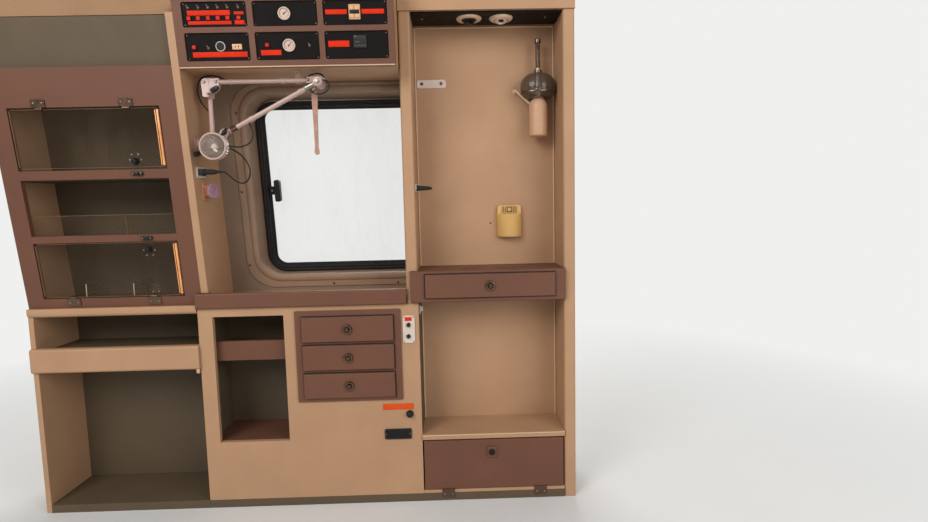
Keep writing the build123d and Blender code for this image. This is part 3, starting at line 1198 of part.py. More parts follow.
# Riser and boom: two tubes joined by the first elbow, with a knuckle for the arm at the far end
with BuildPart() as lamp_boom:
    tube((LAMP_X, LAMP_Y, RISER_LOW), (LAMP_X, LAMP_Y, ELBOW_Z + 14), TUBE_R)
    slab(LAMP_X - 10, LAMP_X + 30, BOOM_Y - 10, LAMP_Y + 10, ELBOW_Z - 12, ELBOW_Z + 20)
    tube((BOOM_X0, BOOM_Y, BOOM_Z), (BOOM_X1, BOOM_Y, BOOM_Z), TUBE_R)
    tube((ARM_PIVOT_X, BOOM_Y + 10, ARM_PIVOT_Z), (ARM_PIVOT_X, ELBOW_FACE_Y + GAP, ARM_PIVOT_Z), ELBOW_R)
    strap_back = BOOM_Y + STRAP_T / 2 + GAP
    slab(STRAP_X - 8, STRAP_X + 8, strap_back, strap_back + 4, STRAP_PIN_Z - 8, BOOM_Z)
    tube((STRAP_X, strap_back + 2, STRAP_PIN_Z), (STRAP_X, BOOM_Y - STRAP_T, STRAP_PIN_Z), STRAP_PIN_R)
    tube((LAMP_X + 12, BOOM_Y - 9, ELBOW_Z), (LAMP_X + 12, BOOM_Y - WING_SHAFT, ELBOW_Z), 5)
    slab(LAMP_X - 6, LAMP_X + 30, BOOM_Y - WING_OUT, BOOM_Y - WING_SHAFT + 1, ELBOW_Z - 6, ELBOW_Z + 6)
write(lamp_boom.part, "lamp_boom")

# Hanging strap on its pin under the boom
with BuildPart() as hanging_strap:
    with BuildSketch(Plane.XZ.offset(-BOOM_Y - STRAP_T / 2)) as strap_outline:
        with Locations((STRAP_X, (STRAP_TOP + STRAP_LOW) / 2)):
            SlotOverall(STRAP_TOP - STRAP_LOW, STRAP_W, rotation=90)
        with Locations((STRAP_X, STRAP_PIN_Z)):
            Circle(STRAP_PIN_R + GAP, mode=Mode.SUBTRACT)
    extrude(strap_outline.sketch, amount=STRAP_T)
write(hanging_strap.part, "hanging_strap")

# Arm from the far elbow back to the fork
with BuildPart() as lamp_arm:
    tube((ARM_PIVOT_X, ELBOW_FACE_Y, ARM_PIVOT_Z), (ARM_PIVOT_X, ARM_Y - 10, ARM_PIVOT_Z), ELBOW_R - 1)
    tube((ARM_PIVOT_X, ARM_Y, ARM_PIVOT_Z), (FORK_X, ARM_Y, FORK_Z), TUBE_R)
    tube((FORK_X, ARM_Y + 10, FORK_Z), (FORK_X, ARM_Y - FORK_HALF, FORK_Z), 12)
write(lamp_arm.part, "lamp_arm")


def head_plane(y):
    """Upright plane across the lamp's axis, facing the room."""
    return Plane((HEAD_X, y, HEAD_Z), x_dir=(1, 0, 0), z_dir=(0, -1, 0))


# Lamp head: a round shell, open at the front, with the ear that the fork's pin goes through
with BuildPart() as lamp_head:
    shell_back = HEAD_Y + HEAD_D / 2
    with BuildSketch(head_plane(shell_back)) as shell_foot:
        Circle(HEAD_R - 14)
    extrude(shell_foot.sketch, amount=12, taper=-45)
    with BuildSketch(head_plane(shell_back - 12)) as shell_body:
        Circle(HEAD_R - 2)
    extrude(shell_body.sketch, amount=HEAD_D - 12)
    with BuildSketch(head_plane(shell_back - 6)) as bowl:
        Circle(HEAD_R - 14 - HEAD_WALL)
    extrude(bowl.sketch, amount=8, taper=-35, mode=Mode.SUBTRACT)
    with BuildSketch(head_plane(shell_back - 12)) as mouth_cut:
        Circle(HEAD_R - 2 - HEAD_WALL)
    extrude(mouth_cut.sketch, amount=HEAD_D, mode=Mode.SUBTRACT)
    ear_y = (ARM_Y - FORK_HALF - GAP - 8, ARM_Y - FORK_HALF - GAP)
    slab(FORK_X - 10, FORK_X + 10, *ear_y, FORK_Z - 12, FORK_Z + 10)
    slab(HEAD_X + 24, FORK_X + 4, *ear_y, HEAD_Z + 22, FORK_Z - 2)
write(lamp_head.part, "lamp_head")

# Lens and rim at the mouth of the shell
with BuildPart() as lamp_lens:
    lens_y = HEAD_Y - HEAD_D / 2 + 6
    with BuildSketch(head_plane(lens_y)) as lens:
        Circle(HEAD_R - 2 - HEAD_WALL - GAP)
    extrude(lens.sketch, amount=4)
write(lamp_lens.part, "lamp_lens")

# Socket on the pillar's side with the lead's plug in it
with BuildPart() as lamp_socket:
    foot_half = SOCKET_SIZE / 2
    foot_y = (SOCKET_Y - foot_half, SOCKET_Y + foot_half)
    slab(PILLAR_X1 + GAP, PILLAR_X1 + 8, *foot_y, SOCKET_Z - foot_half, SOCKET_Z + foot_half)
    fillet(lamp_socket.edges().filter_by(Axis.X), radius=4)
    slab(PILLAR_X1 + 7, PLUG_X0 + 8, SOCKET_Y - 15, SOCKET_Y + 15, SOCKET_Z - 15, SOCKET_Z + 15)
    tube((PLUG_X0, SOCKET_Y, SOCKET_Z), (PLUG_X0 + 20, SOCKET_Y, SOCKET_Z), PLUG_R + GAP, Mode.SUBTRACT)
write(lamp_socket.part, "lamp_socket")

with BuildPart() as lamp_plug:
    tube((PLUG_X0 + GAP, SOCKET_Y, SOCKET_Z), (PLUG_X0 + 34, SOCKET_Y, SOCKET_Z), PLUG_R)
    with BuildSketch(Plane((PLUG_X0 + 34, SOCKET_Y, SOCKET_Z), z_dir=(1, 0, 0))) as plug_wide:
        Circle(PLUG_R)
    with BuildSketch(Plane((PLUG_X1, SOCKET_Y, SOCKET_Z), z_dir=(1, 0, 0))) as plug_narrow:
        Circle(LEAD_R + 1.5)
    loft([plug_wide.sketch, plug_narrow.sketch])
write(lamp_plug.part, "lamp_plug")

# Lead from the plug to the lamp's mount: straight runs joined by the largest arcs that fit
route = [Vector(*point) for point in LEAD_ROUTE]
radii = []
for before, corner, after in zip(route, route[1:], route[2:]):
    shorter = min((corner - before).length, (after - corner).length)
    turn = radians((corner - before).get_angle(after - corner))
    radii.append(0.45 * shorter / tan(turn / 2))
print("lead radii", [round(radius, 1) for radius in radii])
with BuildPart() as lamp_lead:
    with BuildLine() as lead_line:
        FilletPolyline(*route, radius=radii)
    with BuildSketch(Plane(origin=route[0], z_dir=route[1] - route[0])):
        Circle(LEAD_R)
    sweep()
print("lead length", round(sum(edge.length for edge in lead_line.edges()), 1))
write(lamp_lead.part, "lamp_lead")
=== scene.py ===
import bpy, bmesh
from math import sin, cos, tan, pi, radians
from mathutils import Matrix, Vector


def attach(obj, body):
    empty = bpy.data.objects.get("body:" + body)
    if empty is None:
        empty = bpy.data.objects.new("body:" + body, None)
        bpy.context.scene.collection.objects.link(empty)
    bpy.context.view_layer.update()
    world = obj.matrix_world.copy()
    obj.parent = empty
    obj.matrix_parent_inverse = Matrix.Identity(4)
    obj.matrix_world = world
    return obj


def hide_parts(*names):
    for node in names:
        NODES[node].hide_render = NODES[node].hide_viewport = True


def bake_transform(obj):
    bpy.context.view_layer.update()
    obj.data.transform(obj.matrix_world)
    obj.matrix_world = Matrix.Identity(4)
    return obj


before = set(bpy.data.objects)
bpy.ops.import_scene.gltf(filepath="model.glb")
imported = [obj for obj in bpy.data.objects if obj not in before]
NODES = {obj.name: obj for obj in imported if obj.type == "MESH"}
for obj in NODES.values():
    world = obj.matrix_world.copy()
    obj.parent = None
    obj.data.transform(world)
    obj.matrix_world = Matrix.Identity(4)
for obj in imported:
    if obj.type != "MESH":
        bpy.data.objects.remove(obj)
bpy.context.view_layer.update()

# Places are in millimetres: X along the vehicle, Y into the wall, Z up from the floor.
# Above BEND_Z the wall leans into the room.
MM = 0.001
LEAN = radians(7.5)
BELT_Z = 833
BEND_Z = 770
SKIN_Y = 320
NICHE_BACK_Y = 175.8
NICHE_SIDE_X = 410.2
PILLAR_SIDE_X = -339.6
UP = Vector((0, 0, 1))
DOWN = Vector((0, 0, -1))
ROOM = Vector((0, -1, 0))
OUTSIDE = Vector((0, 1, 0))
RIGHT = Vector((1, 0, 0))
SLOPE_UP = Vector((0, -sin(LEAN), cos(LEAN)))
SLOPE_ROOM = Vector((0, -cos(LEAN), -sin(LEAN)))
STEEP = 0.9


def facing(spot, out, up=UP, turn=0):
    """Placement at a spot: local Z points out, local Y up."""
    axes = Matrix((up.cross(out), up, out)).transposed().to_4x4()
    return Matrix.Translation(spot) @ axes @ Matrix.Rotation(turn, 4, "Z")


def lean_y(depth, z):
    """Depth at height z of the leaning plane that crosses the belt line at this depth."""
    return depth - (z - BELT_Z) * tan(LEAN)


def on_wall(x, z, depth=0, lift=0):
    """Placement on the leaning wall plane that crosses the belt line at this depth."""
    spot = Vector((x, lean_y(depth, z), z)) + SLOPE_ROOM * lift
    return facing(spot, SLOPE_ROOM, SLOPE_UP)


def on_skin(x, z, lift=0):
    """Placement on the outside of the body panel, seen from behind."""
    if z < BEND_Z:
        return facing(Vector((x, lean_y(SKIN_Y, BEND_Z) + lift, z)), OUTSIDE)
    spot = Vector((x, lean_y(SKIN_Y, z), z)) - SLOPE_ROOM * lift
    return facing(spot, -SLOPE_ROOM, SLOPE_UP)


def front(x, y, z, turn=0):
    """Placement on an upright front, facing the room."""
    return facing(Vector((x, y, z)), ROOM, turn=turn)


def under(x, y, z):
    """Placement on an underside."""
    return facing(Vector((x, y, z)), DOWN, OUTSIDE)


def upright(x, y, z):
    """Placement of a form that stands up from its foot."""
    return facing(Vector((x, y, z)), UP, OUTSIDE)


def on_side(x, y, z):
    """Placement on a side that faces along the vehicle, to the right."""
    return facing(Vector((x, y, z)), RIGHT)


def beside(run):
    """Direction square to a run; a steep run takes it from X."""
    return run.cross(UP if abs(run.z) < STEEP else RIGHT).normalized()


def along(start, end):
    """Placement at a point with local Z towards another point."""
    run = (Vector(end) - Vector(start)).normalized()
    return facing(Vector(start), run, beside(run))


def rounded(w, h, r, steps=5):
    """Outline of a rectangle with rounded corners, anticlockwise."""
    r = max(0.01, min(r, w / 2, h / 2))
    across, up = w / 2 - r, h / 2 - r
    centres = ((across, up), (-across, up), (-across, -up), (across, -up))
    points = []
    for quarter, (cx, cy) in enumerate(centres):
        for i in range(steps + 1):
            angle = (quarter + i / steps) * pi / 2
            points.append((cx + r * cos(angle), cy + r * sin(angle)))
    return points


def flowing(points, parts=8):
    """Smooth line through points, as a list of points."""
    knots = [Vector(p) for p in points]
    knots = [2 * knots[0] - knots[1], *knots, 2 * knots[-1] - knots[-2]]
    line = []
    for a, b, c, d in zip(knots, knots[1:], knots[2:], knots[3:]):
        for i in range(parts):
            t = i / parts
            line.append(0.5 * ((2 * b) + (c - a) * t + (2 * a - 5 * b + 4 * c - d) * t * t
                               + (3 * b - a - 3 * c + d) * t ** 3))
    return line + [knots[-2]]


def shade(r, g, b):
    """Linear colour from screen values 0 to 255."""
    line = [v / 255 for v in (r, g, b)]
    return tuple(v / 12.92 if v <= 0.04045 else ((v + 0.055) / 1.055) ** 2.4 for v in line) + (1.0,)


class Material:
    """Node material with one Principled shader and the helpers that feed it."""

    COAT_ROUGH = 0.15
    BEVEL_SAMPLES = 4
    # Places of a colour Mix node's factor, two colours and result
    MIX_INPUTS = (0, 6, 7)
    MIX_RESULT = 2

    def __init__(self, name, colour, rough, metal=0.0, coat=0.0, gloss=0.5):
        self.data = bpy.data.materials.new(name)
        self.data.use_nodes = True
        self.tree = self.data.node_tree
        self.bsdf = self.tree.nodes["Principled BSDF"]
        self.colour = colour
        for key, value in (("Base Color", colour), ("Roughness", rough), ("Metallic", metal),
                           ("Coat Weight", coat), ("Coat Roughness", self.COAT_ROUGH),
                           ("Specular IOR Level", gloss)):
            self.bsdf.inputs[key].default_value = value
        self.coords = self.tree.nodes.new("ShaderNodeTexCoord").outputs["Object"]
        self.base = None
        self.normal = None

    def feed(self, socket, value):
        """Link a socket to another node's output, or set it to a constant."""
        if hasattr(value, "is_linked"):
            self.tree.links.new(value, socket)
        else:
            socket.default_value = value

    def new(self, kind, **inputs):
        """Node of this kind, with its inputs fed by name."""
        node = self.tree.nodes.new(kind)
        for key, value in inputs.items():
            self.feed(node.inputs[key.replace("_", " ")], value)
        return node

    def worked(self, kind, operation, *values):
        """Node of this kind that works by an operation, with its first inputs fed in order."""
        node = self.tree.nodes.new(kind)
        node.operation = operation
        for socket, value in zip(node.inputs, values):
            self.feed(socket, value)
        return node

    def noise(self, scale, detail, stretch=None):
        where = self.coords
        if stretch:
            where = self.new("ShaderNodeMapping", Vector=where, Scale=stretch).outputs["Vector"]
        return self.new("ShaderNodeTexNoise", Vector=where, Scale=scale, Detail=detail,
                        Roughness=0.6).outputs["Fac"]

    def spread(self, value, low, high, to_low=0.0, to_high=1.0):
        """Value from one range carried over to another."""
        return self.new("ShaderNodeMapRange", Value=value, From_Min=low, From_Max=high,
                        To_Min=to_low, To_Max=to_high).outputs["Result"]

    def times(self, a, b):
        return self.worked("ShaderNodeMath", "MULTIPLY", a, b).outputs[0]

    def blend(self, factor, a, b):
        node = self.tree.nodes.new("ShaderNodeMix")
        node.data_type = "RGBA"
        for key, value in zip(self.MIX_INPUTS, (factor, a, b)):
            self.feed(node.inputs[key], value)
        return node.outputs[self.MIX_RESULT]

    def toned(self, factor):
        return (*(min(1.0, c * factor) for c in self.colour[:3]), 1.0)

    def mottle(self, scale, amount, stretch=None, low=0.3, high=0.7):
        """Soft patches in the base colour: lighter and darker ones first, then darker ones."""
        cover = self.spread(self.noise(scale, 5.0, stretch), low, high)
        dark = self.toned(1 - amount)
        if self.base is None:
            self.base = self.blend(cover, dark, self.toned(1 + amount))
        else:
            self.base = self.blend(self.times(cover, amount), self.base, dark)
        return self

    def edges(self, radius, worn=None, amount=0.0):
        """Edges rounded by this radius, and worn along them to another screen colour."""
        bevel = self.new("ShaderNodeBevel", Radius=radius)
        bevel.samples = self.BEVEL_SAMPLES
        self.normal = bevel.outputs["Normal"]
        if worn:
            flat = self.new("ShaderNodeNewGeometry").outputs["Normal"]
            turn = self.worked("ShaderNodeVectorMath", "DOT_PRODUCT", self.normal, flat)
            near = self.spread(turn.outputs["Value"], 0.995, 0.90)
            patchy = self.spread(self.noise(55, 4.0), 0.42, 0.62)
            cover = self.times(self.times(near, patchy), amount)
            self.base = self.blend(cover, self.base, shade(*worn))
        return self

    def relief(self, scale, strength, distance, stretch=None):
        """Fine bumps over the surface."""
        bump = self.new("ShaderNodeBump", Strength=strength, Distance=distance,
                        Height=self.noise(scale, 2.0, stretch))
        if self.normal is not None:
            self.feed(bump.inputs["Normal"], self.normal)
        self.normal = bump.outputs["Normal"]
        return self

    def sheen_patches(self, scale, low, high, stretch=None):
        """Roughness that wanders between two values."""
        value = self.spread(self.noise(scale, 4.0, stretch), 0.3, 0.7, low, high)
        self.feed(self.bsdf.inputs["Roughness"], value)
        return self

    def done(self):
        if self.base is not None:
            self.feed(self.bsdf.inputs["Base Color"], self.base)
        if self.normal is not None:
            self.feed(self.bsdf.inputs["Normal"], self.normal)
        return self.data


def laminate(name, colour, rough, worn):
    """Melamine-faced board: faint clouds, a fine pebble grain and rubbed edges."""
    made = Material(name, colour, rough, gloss=0.28)
    made.mottle(5.0, 0.07).mottle(70.0, 0.112, low=0.45, high=0.8)
    made.edges(0.0018, worn, 0.55).relief(1500, 0.16, 0.0003)
    return made.sheen_patches(14, rough - 0.07, rough + 0.1).done()


def plastic(name, colour, rough, radius=0.001, vary=0.05, grain=1100, depth=0.12, gloss=0.3):
    """Moulded plastic with a fine spark-eroded grain."""
    made = Material(name, colour, rough, gloss=gloss)
    made.mottle(22.0, vary).edges(radius).relief(grain, depth, 0.0002)
    return made.sheen_patches(40, rough - 0.06, rough + 0.08).done()


def enamel(name, colour, rough, worn):
    """Sprayed enamel on metal: slight orange peel, chips at the edges."""
    made = Material(name, colour, rough, coat=0.25)
    made.mottle(9.0, 0.05).edges(0.0012, worn, 0.75).relief(420, 0.10, 0.0002)
    return made.sheen_patches(30, rough - 0.05, rough + 0.1).done()


def bare_metal(name, colour, rough, stretch=(1, 1, 1)):
    """Plated or brushed metal with fine drawn lines."""
    made = Material(name, colour, rough, metal=1.0)
    made.mottle(60.0, 0.10, stretch).edges(0.0006).relief(700, 0.10, 0.0001, stretch)
    return made.sheen_patches(90, max(0.05, rough - 0.08), rough + 0.12, stretch).done()


def rubber(name, colour, rough):
    """Moulded rubber with a chalky bloom."""
    made = Material(name, colour, rough, gloss=0.3)
    made.mottle(30.0, 0.22).mottle(300.0, 0.3).edges(0.0008).relief(900, 0.2, 0.0003)
    return made.sheen_patches(25, rough - 0.12, rough + 0.14).done()


def clear(name, colour, rough, film, grazing):
    """Clear pane: a thin tinted film, glossier at a grazing angle, with faint wipe marks."""
    made = Material(name, colour, rough)
    made.sheen_patches(7, rough, rough + 0.05, (3, 3, 1))
    slant = made.new("ShaderNodeLayerWeight").outputs["Facing"]
    smear = made.spread(made.noise(6, 5.0, (4, 1, 1)), 0.45, 0.8, 0.0, 0.05)
    cover = made.worked("ShaderNodeMath", "ADD", made.spread(slant, 0.2, 1.0, film, grazing), smear)
    made.bsdf.inputs["Alpha"].default_value = film
    made.feed(made.bsdf.inputs["Alpha"], cover.outputs[0])
    return made.done()


def looks(table):
    """Materials by name, from each one's kind, screen colour, roughness and settings."""
    return {name: kind(name + "_look", shade(*colour), rough, **settings)
            for name, (kind, colour, rough, settings) in table.items()}


# Colours of worn edges are screen colours too
SLOTS = looks({
    "outer_paint": (enamel, (226, 222, 212), 0.32, {"worn": (150, 148, 140)}),
    "frame_metal": (enamel, (150, 150, 146), 0.48, {"worn": (96, 92, 86)}),
    "panel_beige": (laminate, (172, 134, 102), 0.5, {"worn": (126, 98, 76)}),
    # inner boards, their colour darkened with the painted shade of the cabinet and cubby interiors
    "panel_inner": (laminate, (88, 74, 56), 0.58, {"worn": (66, 55, 42)}),
    "face_brown": (laminate, (104, 68, 51), 0.48, {"worn": (150, 112, 88)}),
    "lining_grey": (plastic, (126, 106, 88), 0.6, {"grain": 500}),
    "surround_grey": (plastic, (140, 114, 93), 0.45, {"radius": 0.003, "grain": 650}),
    "rubber_black": (rubber, (30, 28, 28), 0.62, {}),
    "window_pane": (clear, (214, 224, 222), 0.05, {"film": 0.10, "grazing": 0.45}),
    "flap_clear": (clear, (110, 88, 68), 0.06, {"film": 0.05, "grazing": 0.24}),
    "module_black": (plastic, (20, 16, 15), 0.62, {"grain": 900, "gloss": 0.1}),
    "control_cream": (plastic, (208, 162, 120), 0.45, {}),
    "instrument_white": (plastic, (206, 184, 170), 0.4, {}),
    "lamp_enamel": (enamel, (176, 146, 135), 0.3, {"worn": (120, 108, 100)}),
    "lamp_glass": (clear, (206, 196, 186), 0.04, {"film": 0.08, "grazing": 0.4}),
    "runner_metal": (bare_metal, (190, 190, 188), 0.3, {"stretch": (40, 1, 1)}),
    "fitting_black": (plastic, (28, 25, 25), 0.38, {}),
    "strap_grey": (rubber, (170, 130, 112), 0.6, {}),
    "holder_yellow": (plastic, (204, 162, 98), 0.45, {}),
    "bottle_beige": (plastic, (190, 150, 118), 0.4, {}),
    "dome_clear": (clear, (96, 78, 66), 0.06, {"film": 0.34, "grazing": 0.8}),
    "ceiling_black": (plastic, (16, 14, 14), 0.5, {"gloss": 0.12}),
    "spot_rim": (enamel, (208, 176, 150), 0.3, {"worn": (130, 110, 96)}),
})
FINISH = SLOTS | looks({
    "label_red": (plastic, (204, 42, 12), 0.6, {"vary": 0.12, "gloss": 0.12}),
    "pilot_red": (plastic, (206, 34, 14), 0.5, {"vary": 0.16, "gloss": 0.15}),
    "chrome": (bare_metal, (190, 184, 178), 0.16, {}),
    "zinc": (bare_metal, (150, 142, 134), 0.34, {}),
    "bronze": (bare_metal, (112, 90, 74), 0.28, {}),
    "dial_face": (plastic, (206, 176, 160), 0.5, {"grain": 300}),
    "ink": (plastic, (16, 14, 14), 0.45, {}),
    "trim_pale": (plastic, (196, 166, 134), 0.36, {}),
    # bright orange: painted glow of light carried along the acrylic's edges
    "pane_edge": (plastic, (226, 156, 98), 0.15, {"vary": 0.2, "grain": 200, "depth": 0.05}),
    "reflector": (bare_metal, (176, 160, 146), 0.16, {"stretch": (3, 3, 1)}),
    "pane_dull": (plastic, (112, 84, 62), 0.3, {"vary": 0.2, "grain": 200, "depth": 0.05}),
    "keypad_grey": (plastic, (120, 106, 94), 0.45, {}),
    "display_dark": (plastic, (58, 54, 46), 0.14, {"grain": 200, "depth": 0.03}),
    "orange_strip": (plastic, (206, 74, 22), 0.4, {"grain": 260, "depth": 0.3, "gloss": 0.15}),
    "mauve_pad": (rubber, (150, 112, 122), 0.6, {}),
    "bracket_peach": (enamel, (214, 146, 108), 0.34, {"worn": (140, 100, 78)}),
    # darker copy of holder_yellow: painted shade behind the hood's bars
    "holder_dark": (plastic, (112, 88, 50), 0.55, {}),
    "plate_white": (plastic, (204, 188, 174), 0.4, {}),
    "cable_black": (rubber, (22, 20, 20), 0.5, {}),
    "trim_black": (plastic, (30, 30, 31), 0.55, {"grain": 420, "depth": 0.25}),
})
for node in NODES.values():
    for place in node.material_slots:
        place.material = SLOTS[place.material.name.split(".")[0]]
for place in NODES["flap_hinges"].material_slots:
    place.material = FINISH["bronze"]


class Piece:
    """One piece of the dressed model: a mesh in one finish, built from simple forms."""

    CREASE = radians(30)

    def __init__(self, name, look, body="wall", replaces=()):
        self.name = name
        self.look = look
        self.body = body
        self.stands_for = replaces
        self.mesh = bmesh.new()

    def skin(self, place, rows, loop=False, foot=False, head=False):
        """Faces over rows of points, each row a closed line."""
        made = [[self.mesh.verts.new(place @ Vector(p)) for p in row] for row in rows]
        count = len(made[0])
        pairs = list(zip(made, made[1:]))
        if loop:
            pairs.append((made[-1], made[0]))
        for low, high in pairs:
            for i in range(count):
                j = (i + 1) % count
                self.mesh.faces.new((low[i], low[j], high[j], high[i]))
        if foot:
            self.mesh.faces.new(made[0][::-1])
        if head:
            self.mesh.faces.new(made[-1])
        return self

    def plate(self, place, w, h, r, steps, foot=False, loop=False, corner=5):
        """Rounded rectangle that rises by steps of inset and height."""
        rows = [[(x, y, z) for x, y in rounded(w - 2 * inset, h - 2 * inset, r - inset, corner)]
                for inset, z in steps]
        return self.skin(place, rows, loop, foot, head=not loop)

    def slab(self, place, w, h, t, r=1.0, ease=0.6):
        """Plate of one thickness with eased edges."""
        steps = ((0, 0), (0, t - ease), (ease * 0.3, t - ease * 0.3), (ease, t))
        return self.plate(place, w, h, r, steps, foot=True)

    def turned(self, place, profile, count=32, foot=False, head=True, loop=False, ribs=0):
        """Form turned about local Z, from pairs of radius and height; ribs stand proud of it."""
        rows = []
        for r, z in profile:
            reach = [r + ribs * (i % 4 < 2) for i in range(count)]
            turns = [2 * pi * i / count for i in range(count)]
            rows.append([(far * cos(turn), far * sin(turn), z) for far, turn in zip(reach, turns)])
        return self.skin(place, rows, loop, foot, head and not loop)

    def prism(self, place, outline, depth):
        """Closed outline in local X and Y, raised along local Z."""
        rows = [[(x, y, z) for x, y in outline] for z in (0, depth)]
        return self.skin(place, rows, foot=True, head=True)

    def wire(self, points, r, count=12):
        """Round wire along points."""
        line = [Vector(p) for p in points]
        side = None
        rows = []
        for i, spot in enumerate(line):
            run = (line[min(i + 1, len(line) - 1)] - line[max(i - 1, 0)]).normalized()
            if side is None:
                side = beside(run)
            side = (side - run * side.dot(run)).normalized()
            other = run.cross(side)
            turns = [2 * pi * k / count for k in range(count)]
            rows.append([spot + (side * cos(turn) + other * sin(turn)) * r for turn in turns])
        return self.skin(Matrix.Identity(4), rows, foot=True, head=True)

    def screw(self, place, r, turn):
        """Pan head with a cross recess."""
        rows = []
        turns = [k * pi / 12 + pi / 12 for k in range(24)]
        for radius, z in ((r, 0), (r, 0.25 * r), (0.86 * r, 0.48 * r), (0.56 * r, 0.6 * r)):
            rows.append([(radius * cos(angle), radius * sin(angle), z) for angle in turns])
        a, b = 0.1 * r, 0.42 * r
        corners = ((b, a), (a, a), (a, b), (-a, b), (-a, a), (-b, a), (-b, -a), (-a, -a), (-a, -b),
                   (a, -b), (a, -a), (b, -a))
        cross = []
        for one, two in zip(corners, corners[1:] + corners[:1]):
            cross += [one, ((one[0] + two[0]) / 2, (one[1] + two[1]) / 2)]
        rows.append([(x, y, 0.62 * r) for x, y in cross])
        rows.append([(x * 0.8, y * 0.8, 0.2 * r) for x, y in cross])
        return self.skin(place @ Matrix.Rotation(turn, 4, "Z"), rows, head=True)

    def cut(self, spot, away):
        """Cut off what lies beyond a plane, and close the cut."""
        parts = self.mesh.verts[:] + self.mesh.edges[:] + self.mesh.faces[:]
        found = bmesh.ops.bisect_plane(self.mesh, geom=parts, plane_co=Vector(spot),
                                       plane_no=Vector(away), clear_outer=True)
        rim = [e for e in found["geom_cut"] if isinstance(e, bmesh.types.BMEdge)]
        bmesh.ops.holes_fill(self.mesh, edges=rim, sides=0)
        return self

    def done(self):
        data = bpy.data.meshes.new(self.name)
        bmesh.ops.recalc_face_normals(self.mesh, faces=self.mesh.faces[:])
        self.mesh.to_mesh(data)
        self.mesh.free()
        data.transform(Matrix.Scale(MM, 4))
        data.polygons.foreach_set("use_smooth", [True] * len(data.polygons))
        data.set_sharp_from_angle(angle=self.CREASE)
        data.materials.append(FINISH[self.look])
        made = bpy.data.objects.new(self.name, data)
        bpy.context.scene.collection.objects.link(made)
        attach(made, self.body)
        if self.stands_for:
            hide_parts(*self.stands_for)


def screws(name, look, rows, body="wall"):
    """One piece of screws, from each one's placement, radius and turn."""
    made = Piece(name, look, body)
    for place, r, turn in rows:
        made.screw(place, r, turn)
    made.done()


CABLE_R = 2.5


def cable(name, bodies, points, stands_for=()):
    """Free cable on one smooth line; between two bodies it is a plain mesh fixed in place, on one
    body it rides on it.
    """
    line = bpy.data.curves.new(name + "_line", "CURVE")
    line.dimensions = "3D"
    spline = line.splines.new("NURBS")
    spline.points.add(len(points) - 1)
    for knot, spot in zip(spline.points, points):
        knot.co = (*(value * MM for value in spot), 1)
    spline.order_u = 3
    spline.use_endpoint_u = True
    spline.resolution_u = 10
    made = bpy.data.objects.new(name, line)
    path = [tuple(v.co) for v in bpy.data.meshes.new_from_object(made).vertices]
    line.bevel_depth = CABLE_R * MM
    line.bevel_resolution = 4
    line.use_fill_caps = True
    if len(bodies) > 1:
        tube = bpy.data.meshes.new_from_object(made)
        bpy.data.objects.remove(made)
        made = bpy.data.objects.new(name, tube)
    made.data.materials.clear()
    made.data.materials.append(FINISH["cable_black"])
    bpy.context.scene.collection.objects.link(made)
    if len(bodies) > 1:
        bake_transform(made)
    else:
        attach(made, *bodies)
    if stands_for:
        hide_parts(*stands_for)


# Lamp lead from the mount to its plug, and the short cables across the joints of the arm
cable("lamp_cable", ["wall"], (
    (-264, -5, 1320), (-238, -11, 1317), (-214, -16, 1307), (-190, -19, 1292), (-170, -21, 1271),
    (-157, -22, 1247), (-155, -22, 1222), (-165, -22, 1198), (-184, -21, 1188), (-208, -19, 1197),
    (-230, -17, 1216), (-246, -16, 1231), (-262, -16, 1231)), ["lamp_lead"])
cable("riser_cable", ["lamp_boom"], (
    (-291, -5, 1438), (-302, -6, 1450), (-318, -8, 1474), (-325, -11, 1506), (-316, -16, 1540),
    (-292, -22, 1554), (-262, -28, 1553), (-236, -31, 1549), (-220, -32, 1539)))
cable("elbow_cable", ["lamp_boom"], (
    (52, -32, 1539), (62, -33, 1545), (82, -36, 1552), (104, -38, 1552), (117, -38, 1542),
    (112, -38, 1534)))
cable("arm_cable", ["lamp_arm"], (
    (115, -60, 1526), (128, -60, 1526), (137, -60, 1513), (135, -60, 1494), (120, -60, 1482),
    (98, -60, 1479), (80, -59, 1484), (71, -58, 1497)))
cable("head_cable", ["lamp_arm", "lamp_head"], (
    (-138, -58, 1390), (-130, -60, 1374), (-122, -66, 1348), (-130, -74, 1323), (-148, -82, 1310),
    (-172, -90, 1305), (-202, -94, 1311)))

# Window seal, the rounded lip of the surround's mouth, the flange's screws, latch and pane border
WINDOW_X, WINDOW_Z = 107, 1179.5
WINDOW = on_wall(WINDOW_X, WINDOW_Z, SKIN_Y)
LIP_Y, LIP_END_X = 220.7, 367.5
FLANGE_Y, FLANGE_T = 224.7, 4
LATCH_Z = 1174
SEAL_SECTION = (
    # inset, height
    (1.5, -4.3), (0, -3), (0, -0.4), (11.6, -0.4), (11.6, 3.4), (4.5, 3.4), (4, 6), (4, 19),
    (6, 22), (9.5, 23.3), (13, 22.3), (14.5, 20.5), (16.5, 20.5), (18, 22), (21, 22.5), (24, 20),
    (26.5, 15), (27, 9), (27, 7), (31, 6.2), (31, 5.2), (26.9, 5.1), (26.9, -0.2), (31, -0.2),
    (31, -1.4), (25, -3.8), (14, -4.3),
)
LIP_SECTION = (
    (-24, -0.5), (-23, 0.8), (-16, 4.5), (-6, 5.5), (0, 3), (3, -4), (4, -12), (2, -12), (-4, -0.5),
)
seal = Piece("rubber_seal", "rubber_black", replaces=["window_seal"])
seal.plate(WINDOW, 640, 676.8, 75, SEAL_SECTION, loop=True, corner=14).done()
lip = Piece("surround_lip", "surround_grey")
lip.plate(on_wall(WINDOW_X, WINDOW_Z, LIP_Y), 658, 694.8, 84, LIP_SECTION, loop=True, corner=14)
lip.cut((LIP_END_X, 0, 0), RIGHT).done()
screws("surround_screws", "bronze", [(on_wall(x, z, FLANGE_Y, FLANGE_T), 4.2, x) for x, z in (
    (-252, 1456), (-166, 1536), (326, 1541), (-262, 1166), (-262, 881), (62, 800), (317, 798))])
grip = Piece("latch_detail", "fitting_black")
